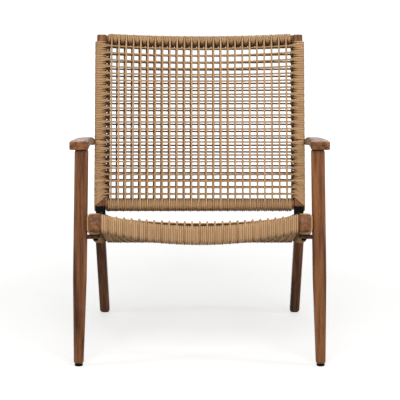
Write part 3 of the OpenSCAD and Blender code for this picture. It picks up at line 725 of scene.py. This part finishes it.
class CHAIR_OT_front_legs(Operator):
    """Front legs: swelling to a knee beside the seat, with softly rounded edges"""
    bl_idname = "chair.front_legs"
    bl_label = "Front legs"

    def execute(self, context):
        foot_out, knee_out, top_out = 319.8 * MM, 320 * MM, 313.3 * MM
        foot_w, foot_d, leg_w, leg_d, knee_z = 24.8 * MM, 27 * MM, 34.2 * MM, 38 * MM, 225 * MM
        top_z = arm_underside(LEG_Y) - 1.6 * MM
        leg = loft("timber_front_leg_right", [
            (foot_out - foot_w / 2, LEG_Y, GLIDE_HI.z, foot_w, foot_d),
            (knee_out - leg_w / 2, LEG_Y, knee_z, leg_w, leg_d),
            (top_out - leg_w / 2, LEG_Y, top_z, leg_w, leg_d)], Matrix())
        tilt_top(leg, top_z)
        round_edges(leg, sizes().leg_round, 5, 12)
        finish_pair(leg, "front_leg", "leg_right", "leg_left")
        return {"FINISHED"}


def tilt_top(leg, top_z):
    """Slopes the leg's level top to the armrest that lies on it, and lets it into the armrest a little."""
    let_in = 0.3 * MM
    for end in (LEG_LO.y, LEG_HI.y):
        only(leg)
        bpy.ops.object.mode_set(mode="EDIT")
        pick(leg, lambda co: co.z > top_z - 2.4 * MM and abs(co.y - end) < 5 * MM)
        bpy.ops.transform.translate(value=(0, 0, arm_underside(end) + let_in - top_z))
        bpy.ops.object.mode_set(mode="OBJECT")


class CHAIR_OT_armrests(Operator):
    """Armrests: flat boards that fall and narrow towards the back, rounded all over"""
    bl_idname = "chair.armrests"
    bl_label = "Armrests"

    def execute(self, context):
        # The outer edge in millimetres: how far behind the leg's middle, and from the chair's middle.
        outer = [(-30, 326), (40, 324.5), (80, 321), (160, 316.5), (230, 311.5), (300, 306), (370, 302),
                 (440, 300), (518, 299), (532, 292)]
        inner, drift, drift_length = 278, 2.9, 500
        tip_y, tip_step = 525, 3.5
        stations = []
        for y, x_out in outer:
            back = y - outer[0][0]
            place = ARM_LO.y + back * MM
            x_in = inner + drift * min(1, back / drift_length) + (tip_step if y > tip_y else 0)
            thick = arm_thick(place)
            stations.append(((x_in + x_out) / 2 * MM, -(arm_height(place) - thick / 2), place,
                             (x_out - x_in) * MM, thick))
        arm = loft("timber_armrest_right", stations, Matrix.Rotation(-math.pi / 2, 4, "X"))
        round_edges(arm, sizes().arm_round, 5, 40)
        finish_pair(arm, "armrest", "arm")
        return {"FINISHED"}


class CHAIR_OT_rear_legs(Operator):
    """Rear legs: raked and tapered, each with a round-ended tongue for its hinge bracket"""
    bl_idname = "chair.rear_legs"
    bl_label = "Rear legs"

    def execute(self, context):
        w, d, foot_d = 26 * MM, 36 * MM, 26 * MM
        shoulder, taper_end, below_floor = REAR_LEN - 26 * MM, 60 * MM, 20 * MM
        leg = loft("timber_rear_leg_right", [
            (0, 0, -below_floor, w, foot_d), (0, 0, shoulder - taper_end, w, d),
            (0, 0, shoulder, w, d)], REAR_LEG)
        cut_off(leg, (0, 0, REAR_GLIDE_HI.z), (0, 0, -1))
        round_edges(leg, sizes().edge_round, 4)
        tongue_w, tongue_r, root = 9.6 * MM, 11 * MM, 30 * MM
        angles = np.linspace(0, math.radians(78), 7)
        tongue = loft(
            "tongue",
            [(0, 0, -root, tongue_w, 2 * tongue_r)]
            + [(0, 0, tongue_r * math.sin(a), tongue_w, 2 * tongue_r * math.cos(a)) for a in angles],
            Matrix.Translation((POST_X, LEG_Y + PIVOT_Y, PIVOT_Z)) @ Matrix.Rotation(REAR_RAKE, 4, "X"))
        round_edges(tongue, 0.6 * MM, 2, 50)
        only(leg)
        tongue.select_set(True)
        bpy.ops.object.join()
        finish_pair(leg, "rear_leg", "rear_leg")
        return {"FINISHED"}


class CHAIR_OT_back_posts(Operator):
    """Back posts: straight timber that shows bare at the top and the foot"""
    bl_idname = "chair.back_posts"
    bl_label = "Back posts"

    def execute(self, context):
        stations = [(POST_X, 0, z, POST_W, POST_D) for z in (0, POST_LEN)]
        post = loft("timber_back_post_right", stations, BACK)
        round_edges(post, sizes().edge_round, 4)
        finish_pair(post, "back_post", "post")
        return {"FINISHED"}


class CHAIR_OT_seat_side_rails(Operator):
    """Seat side rails: their rounded front ends show past the cord"""
    bl_idname = "chair.seat_side_rails"
    bl_label = "Seat side rails"

    def execute(self, context):
        # The blank is sawn to length along the rear leg's front face.
        blank, half_leg = 560 * MM, 18 * MM
        stations = [(SIDE_X, 0, y, SIDE_W, SIDE_H) for y in (0, blank)]
        rail = loft("timber_side_rail_right", stations, SEAT @ Matrix.Rotation(-math.pi / 2, 4, "X"))
        cut_off(rail, REAR_LEG @ Vector((0, -half_leg, REAR_LEN)),
                REAR_LEG.to_3x3() @ Vector((0, 1, 0)))
        round_edges(rail, SIDE_R, 4)
        finish_pair(rail, "seat_side_rail", "side_rail")
        return {"FINISHED"}


class CHAIR_OT_bearers(Operator):
    """Bearers: short ledges under the side rails, let into the front legs"""
    bl_idname = "chair.bearers"
    bl_label = "Seat bearers"

    def execute(self, context):
        thick, length, y = 10 * MM, 30 * MM, 70 * MM
        cord_gap, tenon = 4.6 * MM, 15 * MM
        down = SIDE_H / 2 + cord_gap + thick / 2
        stations = [(down, y, x, thick, length) for x in (SIDE_IN, BEARER_OUT - tenon)]
        bearer = loft("timber_bearer_right", stations, SEAT @ Matrix.Rotation(math.pi / 2, 4, "Y"))
        round_edges(bearer, 1.5 * MM, 2)
        finish_pair(bearer, "seat_bearer", "bearer")
        return {"FINISHED"}


class CHAIR_OT_glides(Operator):
    """Glides: black moulded feet with a rounded lower edge"""
    bl_idname = "chair.glides"
    bl_label = "Glides"

    def execute(self, context):
        for name, lo, hi in (("front_glides", GLIDE_LO, GLIDE_HI),
                             ("rear_glides", REAR_GLIDE_LO, REAR_GLIDE_HI)):
            r = (hi.y - lo.y) / 2
            deselect()
            bpy.ops.mesh.primitive_cylinder_add(
                vertices=32, radius=r, depth=hi.z - lo.z,
                location=(hi.x - r, (lo.y + hi.y) / 2, (lo.z + hi.z) / 2))
            glide = bpy.context.object
            glide.name = glide.data.name = "moulded_" + name
            bpy.ops.object.transform_apply(location=True, rotation=True, scale=True)
            round_edges(glide, min(2 * MM, (hi.z - lo.z) * 0.4), 3)
            left = mirrored(glide, glide.name + "_left")
            only(glide)
            left.select_set(True)
            bpy.ops.object.join()
            finish_piece(glide, material("glide_plastic"), "glide_plastic", name)
        return {"FINISHED"}


class CHAIR_OT_hardware(Operator):
    """Finishes of the pieces that keep their construction shape"""
    bl_idname = "chair.hardware"
    bl_label = "Rails and hardware"

    def execute(self, context):
        finishes = {
            "cross_rail": ["back_top_rail", "back_bottom_rail", "seat_front_rail", "seat_rear_rail",
                           "arm_dowels", "back_dowels", "seat_dowels"],
            "black_steel": ["post_bracket_left", "post_bracket_right", "bearer_bolts", "bracket_bolts",
                            "bracket_nuts", "rear_rail_bolts"],
            "zinc_steel": ["arm_bolts", "bracket_screws", "barrel_nuts", "glide_nails"],
            "brass": ["arm_inserts"],
        }
        for key, nodes in finishes.items():
            for node in nodes:
                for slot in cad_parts[node].material_slots:
                    slot.material = material(key)
        return {"FINISHED"}


# ---- Operators: cord ----

def strand_places(pitch, shift=0.0):
    half = (STRANDS - 1) // 2
    return [i * pitch + shift for i in range(-half, half + 1)]


def finish_cord(name, runs, node, inward=None):
    # inward, where given, is the direction whose faces get painted shade.
    piece = cord_mesh(name, runs, sizes().cord / 2, sizes().cord_sides, inward)
    finish_piece(piece, material("cord"), "cord", node)


def part_turns(path, tone, matrix, axis):
    return (in_frame(matrix, path), np.array(matrix.to_3x3() @ Vector(axis)), tone)


class CHAIR_OT_rail_cords(Operator):
    """Cord wound round the four cross rails"""
    bl_idname = "chair.rail_cords"
    bl_label = "Cord on the cross rails"

    def execute(self, context):
        cord = sizes().cord
        reach = POST_IN - cord * 1.1
        seat_reach = SIDE_IN - cord * 1.1
        front = strand_places(BACK_PITCH_FRONT, BACK_SHIFT_FRONT)
        rear = strand_places(BACK_PITCH_REAR, BACK_SHIFT_REAR)
        seat = strand_places(SEAT_PITCH_X)

        def wide(a, b):
            return np.clip(a / RAIL_D + 0.5, 0, 1)

        jobs = [
            ("cord_top_rail", 11, (RAIL_D, TOP_H, RAIL_R), (0, -1), 3.4 * MM, front, rear, reach, wide,
             BACK, lambda x, a, b: (x, a + bow(x), b + TOP_Z), "top_rail_wrap"),
            ("cord_bottom_rail", 12, (RAIL_D, LOW_H, RAIL_R), (0, 1), 1.2 * MM, front, rear, reach, wide,
             BACK, lambda x, a, b: (x, a, b + LOW_Z), "bottom_rail_wrap"),
            ("cord_front_rail", 13, (SEAT_RAIL_D, FRONT_H, RAIL_R), (1, 0), 1.0 * MM, seat, None,
             seat_reach, near_face, SEAT, lambda x, a, b: (x, a + FRONT_Y, b + FRONT_Z - dip(x)),
             "front_rail_wrap"),
            ("cord_rear_rail", 14, (SEAT_RAIL_D, REAR_H, RAIL_R), (-1, 0), 1.0 * MM, seat, None,
             seat_reach, near_face, SEAT, lambda x, a, b: (x, a + REAR_Y, b + REAR_Z),
             "rear_rail_wrap"),
        ]
        for name, seed, section, panel, fan, near, far, end, mixing, matrix, lay, node in jobs:
            path, tone = wind(seed, mixing, section, panel, fan, near, far, (-end, end))
            points = np.stack(lay(path[:, 0], path[:, 1], path[:, 2]), -1)
            finish_cord(name, [part_turns(points, tone, matrix, (1, 0, 0))], node)
        return {"FINISHED"}


class CHAIR_OT_post_cords(Operator):
    """Cord wound round the back posts, parted at the armrest's bolt"""
    bl_idname = "chair.post_cords"
    bl_label = "Cord on the back posts"

    def execute(self, context):
        slant, reach, start = 11 * MM, 75 * MM, 15 * MM
        push, push_reach = 5 * MM, 7 * MM
        for side, label in ((1, "right"), (-1, "left")):
            def part(z, a, b):
                """Turns part round the bolt's head on the inner face, and the lowest lie aslant."""
                inner = np.clip(-side * a / POST_W + 0.5, 0, 1)
                away = z - ARM_BOLT_Z
                bolt = np.sign(away) * push * np.exp(-np.abs(away) / push_reach) * inner
                low = np.clip(1 - (z - start) / reach, 0, 1)
                return bolt + slant * low * (2 * inner - 1)

            path, tone = wind(20 + side, lambda a, b: np.clip(b / POST_D + 0.5, 0, 1),
                              (POST_W, POST_D, POST_R), (-side, 0), 3.2 * MM, FRONT_ROWS, REAR_ROWS,
                              (start, WRAP_TOP), spread=part, gather=-1, swell=2.6 * MM)
            points = np.stack([path[:, 1] + side * POST_X, path[:, 2], path[:, 0]], -1)
            finish_cord("cord_post_" + label, [part_turns(points, tone, BACK, (0, 0, 1))],
                        "post_wrap_" + label)
        return {"FINISHED"}


class CHAIR_OT_side_rail_cords(Operator):
    """Cord wound round the seat's side rails"""
    bl_idname = "chair.side_rail_cords"
    bl_label = "Cord on the side rails"

    def execute(self, context):
        half = sizes().cord / 2
        span = (12 * MM + half, 478 * MM - half)
        for side, label in ((1, "right"), (-1, "left")):
            path, tone = wind(30 + side, near_face, (SIDE_W, SIDE_H, SIDE_R), (-side, 0), 1.2 * MM,
                              SEAT_ROWS, None, span)
            points = np.stack([path[:, 1] + side * SIDE_X, path[:, 0], path[:, 2]], -1)
            finish_cord("cord_side_rail_" + label, [part_turns(points, tone, SEAT, (0, 1, 0))],
                        "side_rail_wrap_" + label)
        return {"FINISHED"}


def strand(dice, matrix, side, x, y, z):
    """One strand of the weave as a run for cord_mesh, in a tone of its own."""
    tone = np.full(len(x), dice.uniform(*STRAND_TONES))
    return part_turns(np.stack([x, y, z], -1), tone, matrix, side)


def weft_ends(x, w, half, r, proud):
    """How a weft goes round the right-hand member, from its outer side to its face, and round the left."""
    right = np.vstack([[(x + w / 2 + proud, 0)], corner(x + w / 2 - r, half - r, r + proud, 0, 90),
                       [(x, half + proud)]])
    return right, right[::-1] * (-1, 1)


class CHAIR_OT_back_warps(Operator):
    """Upright strands of the back, in front and behind, from the top rail to the bottom rail"""
    bl_idname = "chair.back_warps"
    bl_label = "Upright strands of the back"

    def execute(self, context):
        size = sizes()
        proud = size.cord / 2 + BACK_WARP_GAP
        half_d = RAIL_D / 2
        for side, pitch, rows, name, node, seed in (
                (-1, BACK_PITCH_FRONT, FRONT_ROWS, "cord_back_warps_front", "back_warp_front", 41),
                (1, BACK_PITCH_REAR, REAR_ROWS, "cord_back_warps_rear", "back_warp_rear", 42)):
            dice = random.Random(seed)
            between = np.linspace(TOP_Z - TOP_H / 2 - 2 * MM, LOW_Z + LOW_H / 2 + 2 * MM, 96)
            runs = []
            for x, middle_x in zip(strand_places(pitch, BACK_SHIFT_REAR if side > 0 else BACK_SHIFT_FRONT),
                                   strand_places((BACK_PITCH_FRONT + BACK_PITCH_REAR) / 2,
                                                 (BACK_SHIFT_FRONT + BACK_SHIFT_REAR) / 2)):
                top = corner(half_d - RAIL_R, TOP_Z + TOP_H / 2 - RAIL_R, RAIL_R + proud, 90, 0)
                low = corner(half_d - RAIL_R, LOW_Z - LOW_H / 2 + RAIL_R, RAIL_R + proud, 0, -90)
                depth = half_d + size.cord / 2 + size.wave * crossing(between, rows)
                flat = np.vstack([
                    [(0, TOP_Z + TOP_H / 2 + proud)], top, [(half_d + proud, TOP_Z - 3 * MM)],
                    np.stack([depth, between], -1),
                    [(half_d + proud, LOW_Z)], low, [(0, LOW_Z - LOW_H / 2 - proud)]])
                over = np.clip(flat[:, 0] / (half_d - RAIL_R), 0, 1)
                drift = dice.gauss(0, WARP_DRIFT)
                xs = (middle_x + (x - middle_x) * over
                      + drift * np.sin(math.pi * np.linspace(0, 1, len(flat))))
                ys = side * flat[:, 0] + bow(xs) * bow_share(flat[:, 1])
                runs.append(strand(dice, BACK, (1, 0, 0), xs, ys, flat[:, 1]))
            finish_cord(name, runs, node, BACK.to_3x3() @ Vector((0, -side, 0)))
        return {"FINISHED"}


class CHAIR_OT_back_wefts(Operator):
    """Level strands of the back, in front and behind, from post to post"""
    bl_idname = "chair.back_wefts"
    bl_label = "Level strands of the back"

    def execute(self, context):
        size = sizes()
        proud = size.cord / 2 + WEFT_GAP
        depth = RAIL_D / 2 - size.cord / 2 - 0.1 * MM
        between = np.linspace(POST_IN - 1 * MM, -POST_IN + 1 * MM, 106)
        right, left = weft_ends(POST_X, POST_W, POST_D / 2, POST_R, proud)
        # The bottom row is woven in front only.
        for side, rows, others, pitch, name, node, seed in (
                (-1, FRONT_ROWS, REAR_ROWS, BACK_PITCH_FRONT,
                 "cord_back_wefts_front", "back_weft_front", 43),
                (1, REAR_ROWS[:-1], FRONT_ROWS, BACK_PITCH_REAR,
                 "cord_back_wefts_rear", "back_weft_rear", 44)):
            dice = random.Random(seed)
            runs = []
            for row, (z, other_z) in enumerate(zip(rows, others)):
                waved = depth - size.wave * crossing(between, strand_places(pitch))
                flat = np.vstack([right, np.stack([between, waved], -1), left])
                over = np.clip(flat[:, 1] / (POST_D / 2 - POST_R), 0, 1)
                drift = dice.gauss(0, WEFT_DRIFT)
                sag = FRONT_SAG[row] if side < 0 else 0
                hang = sag * np.clip(1 - np.square(flat[:, 0] / POST_IN), 0, 1)
                zs = ((z + other_z) / 2 + (z - other_z) / 2 * over - hang
                      + drift * np.cos(math.pi * flat[:, 0] / (2 * POST_X + 40 * MM)))
                ys = side * flat[:, 1] + bow(np.clip(flat[:, 0], -POST_IN, POST_IN)) * bow_share(zs)
                runs.append(strand(dice, BACK, (0, 0, 1), flat[:, 0], ys, zs))
            finish_cord(name, runs, node, BACK.to_3x3() @ Vector((0, -side, 0)))
        return {"FINISHED"}


class CHAIR_OT_seat_warps(Operator):
    """Seat strands from front to rear, over the top and underneath"""
    bl_idname = "chair.seat_warps"
    bl_label = "Front-to-rear strands of the seat"

    def execute(self, context):
        size = sizes()
        proud = size.cord / 2 + SEAT_WARP_GAP
        wound = size.cord / 2
        half_d = SEAT_RAIL_D / 2
        arc = RAIL_R + proud
        front_top, front_low = FRONT_Z + FRONT_H / 2, FRONT_Z - FRONT_H / 2
        rear_top, rear_low = REAR_Z + REAR_H / 2, REAR_Z - REAR_H / 2
        between = np.linspace(FRONT_Y + half_d, REAR_Y - half_d, 94)
        dice = random.Random(51)
        top_runs, low_runs = [], []
        for x in strand_places(SEAT_PITCH_X):
            fall = float(dip(x))
            start = np.vstack([
                [(FRONT_Y, front_low - proud)],
                corner(FRONT_Y - half_d + RAIL_R, front_low + RAIL_R, arc, 270, 180),
                [(FRONT_Y - half_d - proud, FRONT_Z)],
                corner(FRONT_Y - half_d + RAIL_R, front_top - RAIL_R, arc, 180, 90),
                [(FRONT_Y, front_top + proud)]])
            start[:, 1] -= fall
            level = (front_top + wound - fall * dip_share(between)
                     + size.wave * crossing(between, SEAT_ROWS))
            end = np.vstack([
                [(REAR_Y, rear_top + proud)],
                corner(REAR_Y + half_d - RAIL_R, rear_top - RAIL_R, arc, 90, 0),
                [(REAR_Y + half_d + proud, REAR_Z)],
                corner(REAR_Y + half_d - RAIL_R, rear_low + RAIL_R, arc, 0, -90),
                [(REAR_Y, rear_low - proud)]])
            flat = np.vstack([start, np.stack([between, level], -1), end])
            drift = dice.gauss(0, WARP_DRIFT) * np.sin(math.pi * np.linspace(0, 1, len(flat)))
            top_runs.append(strand(dice, SEAT, (1, 0, 0), x + drift, flat[:, 0], flat[:, 1]))
            share = np.clip((between - between[0]) / (between[-1] - between[0]), 0, 1)
            low = ((front_low - fall) * (1 - share) + rear_low * share - wound
                   - size.wave * crossing(between, SEAT_ROWS))
            flat = np.vstack([[(FRONT_Y, front_low - fall - proud)], np.stack([between, low], -1),
                              [(REAR_Y, rear_low - proud)]])
            drift = dice.gauss(0, WARP_DRIFT) * np.sin(math.pi * np.linspace(0, 1, len(flat)))
            low_runs.append(strand(dice, SEAT, (1, 0, 0), x + drift, flat[:, 0], flat[:, 1]))
        down = SEAT.to_3x3() @ Vector((0, 0, -1))
        finish_cord("cord_seat_warps_top", top_runs, "seat_warp_top", down)
        finish_cord("cord_seat_warps_bottom", low_runs, "seat_warp_bottom", -down)
        return {"FINISHED"}


class CHAIR_OT_seat_wefts(Operator):
    """Seat strands from side to side, on top and underneath"""
    bl_idname = "chair.seat_wefts"
    bl_label = "Side-to-side strands of the seat"

    def execute(self, context):
        size = sizes()
        proud = size.cord / 2 + WEFT_GAP
        lift = size.cord + 0.1 * MM
        right, left = weft_ends(SIDE_X, SIDE_W, SIDE_H / 2, SIDE_R, proud)
        lip_x, lip_z = SIDE_IN + SIDE_R, SIDE_H / 2 + proud - 0.3 * MM
        inner = SIDE_IN - 1 * MM
        between = np.linspace(inner, -inner, 106)
        places = strand_places(SEAT_PITCH_X)
        dice = random.Random(52)
        runs = {1: [], -1: []}
        front_top = FRONT_Z + FRONT_H / 2
        front_low, rear_low = FRONT_Z - FRONT_H / 2, REAR_Z - REAR_H / 2
        for y in SEAT_ROWS:
            share = (y - FRONT_Y - SEAT_RAIL_D / 2) / (REAR_Y - FRONT_Y - SEAT_RAIL_D)
            for side in (1, -1):
                if side > 0:
                    panel_z = (front_top + size.cord / 2 - lift - dip(between) * dip_share(y)
                               - size.wave * crossing(between, places))
                else:
                    panel_z = -(front_low + (rear_low - front_low) * share - size.cord / 2 + lift
                                - dip(between) * (1 - share) + size.wave * crossing(between, places))
                flat = np.vstack([right, [(lip_x, lip_z)], np.stack([between, panel_z], -1),
                                  [(-lip_x, lip_z)], left])
                drift = dice.gauss(0, WEFT_DRIFT) * np.cos(math.pi * flat[:, 0] / (2 * SIDE_X + 40 * MM))
                runs[side].append(
                    strand(dice, SEAT, (0, 1, 0), flat[:, 0], y + drift, side * flat[:, 1]))
        down = SEAT.to_3x3() @ Vector((0, 0, -1))
        finish_cord("cord_seat_wefts_top", runs[1], "seat_weft_top", down)
        finish_cord("cord_seat_wefts_bottom", runs[-1], "seat_weft_bottom", -down)
        return {"FINISHED"}


# ---- Studio ----

def add_light(name, place, target, size, power):
    lamp = bpy.data.lights.new(name, "AREA")
    lamp.shape = "RECTANGLE"
    lamp.size, lamp.size_y = size
    lamp.energy = power
    light = bpy.data.objects.new(name, lamp)
    light.location = place
    light.rotation_euler = (Vector(target) - Vector(place)).to_track_quat("-Z", "Y").to_euler()
    bpy.context.collection.objects.link(light)


def seen_directly(tree):
    """1 for rays from the camera, or that a gloss or clear surface passes on, and 0 for the others."""
    path = add_node(tree, "LightPath")
    seen = path.outputs["Is Camera Ray"]
    for ray in ("Is Glossy Ray", "Is Transmission Ray"):
        seen = add_node(tree, "Math", {"operation": "MAXIMUM"},
                        {0: seen, 1: path.outputs[ray]}).outputs[0]
    return seen


class CHAIR_OT_stage(Operator):
    """Camera, pale floor, soft lights and white surroundings"""
    bl_idname = "chair.stage"
    bl_label = "Studio"

    def execute(self, context):
        scene = context.scene
        camera = bpy.data.cameras.new("camera")
        camera.sensor_width = 36
        camera.lens = 273.5
        camera.shift_x = 0.00075
        camera.shift_y = -0.001
        viewer = bpy.data.objects.new("camera", camera)
        away, height, tilt = 7.5, 1.9066, math.radians(11.136)
        viewer.location = (0, LEG_Y - away, height)
        viewer.rotation_euler = (math.pi / 2 - tilt, 0, 0)
        context.collection.objects.link(viewer)
        scene.camera = viewer

        deselect()
        bpy.ops.mesh.primitive_plane_add(size=60, location=(0, 0, 0))
        floor = context.object
        floor.name = floor.data.name = "floor"
        # A matt pale floor that takes the shadow, and whitens with distance until it meets the sky.
        paint, tree = new_material("matt_white_floor")
        place = add_node(tree, "TexCoord").outputs["Object"]
        away = add_node(tree, "VectorMath", {"operation": "LENGTH"}, {0: place}).outputs["Value"]
        fade = add_node(tree, "MapRange",
                        {"From Min": 0.8, "From Max": 2.6, "To Min": 0.60, "To Max": 1.0},
                        {"Value": away}).outputs["Result"]
        glow = add_node(tree, "Math", {"operation": "MULTIPLY"},
                        {0: seen_directly(tree), 1: fade}).outputs[0]
        matt = add_node(tree, "BsdfDiffuse", {"Color": (*colours().floor, 1)}).outputs["BSDF"]
        white = add_node(tree, "Emission", {"Color": (1, 1, 1, 1)},
                         {"Strength": glow}).outputs["Emission"]
        both = add_node(tree, "AddShader", links={0: matt, 1: white}).outputs["Shader"]
        add_node(tree, "OutputMaterial", links={"Surface": both})
        floor.data.materials.append(paint)

        world = bpy.data.worlds.new("studio")
        world.use_nodes = True
        tree = world.node_tree
        tree.nodes.clear()
        level = add_node(tree, "MapRange", {"To Min": 0.10, "To Max": 1.0},
                         {"Value": seen_directly(tree)}).outputs["Result"]
        sky = add_node(tree, "Background", {"Color": (1, 1, 1, 1)}, {"Strength": level}).outputs[0]
        add_node(tree, "OutputWorld", links={"Surface": sky})
        scene.world = world

        middle = (0, 0, 0.4)
        add_light("key", (0.2, -4.0, 3.2), middle, (4.0, 2.6), 200)
        add_light("top", (0, 0.2, 3.8), middle, (2.5, 2.5), 30)
        add_light("behind", (0, 4.0, 2.0), (0, 0, 0.55), (3.0, 0.8), 35)
        add_light("left_strip", (-3.2, -1.2, 1.4), middle, (0.6, 2.0), 30)
        add_light("right_strip", (3.2, -1.2, 1.4), middle, (0.6, 2.0), 40)
        scene.view_settings.view_transform = "Standard"
        return {"FINISHED"}


# ---- Panel, registering and running ----

STEPS = (
    CHAIR_OT_stage, CHAIR_OT_front_legs, CHAIR_OT_armrests, CHAIR_OT_rear_legs, CHAIR_OT_back_posts,
    CHAIR_OT_seat_side_rails, CHAIR_OT_bearers, CHAIR_OT_glides, CHAIR_OT_hardware,
    CHAIR_OT_rail_cords, CHAIR_OT_post_cords, CHAIR_OT_side_rail_cords,
    CHAIR_OT_back_warps, CHAIR_OT_back_wefts, CHAIR_OT_seat_warps, CHAIR_OT_seat_wefts,
)


class CHAIR_PT_sidebar(Panel):
    """Sizes, colours and steps of the armchair"""
    bl_label = "Paper-cord armchair"
    bl_idname = "CHAIR_PT_sidebar"
    bl_space_type = "VIEW_3D"
    bl_region_type = "UI"
    bl_category = "Armchair"

    def draw(self, context):
        for group in (context.scene.chair_sizes, context.scene.chair_colours):
            for name in group.__annotations__:
                self.layout.prop(group, name)
        for step in STEPS:
            self.layout.operator(step.bl_idname)


CLASSES = (ChairSizes, ChairColours, *STEPS, CHAIR_PT_sidebar)


def register():
    for cls in CLASSES:
        bpy.utils.register_class(cls)
    bpy.types.Scene.chair_sizes = PointerProperty(type=ChairSizes)
    bpy.types.Scene.chair_colours = PointerProperty(type=ChairColours)


def unregister():
    del bpy.types.Scene.chair_colours
    del bpy.types.Scene.chair_sizes
    for cls in reversed(CLASSES):
        bpy.utils.unregister_class(cls)


def main():
    register()
    for step in STEPS:
        group, name = step.bl_idname.split(".")
        if getattr(getattr(bpy.ops, group), name)() != {"FINISHED"}:
            raise RuntimeError(step.bl_label + " did not finish")


if __name__ == "__main__":
    main()
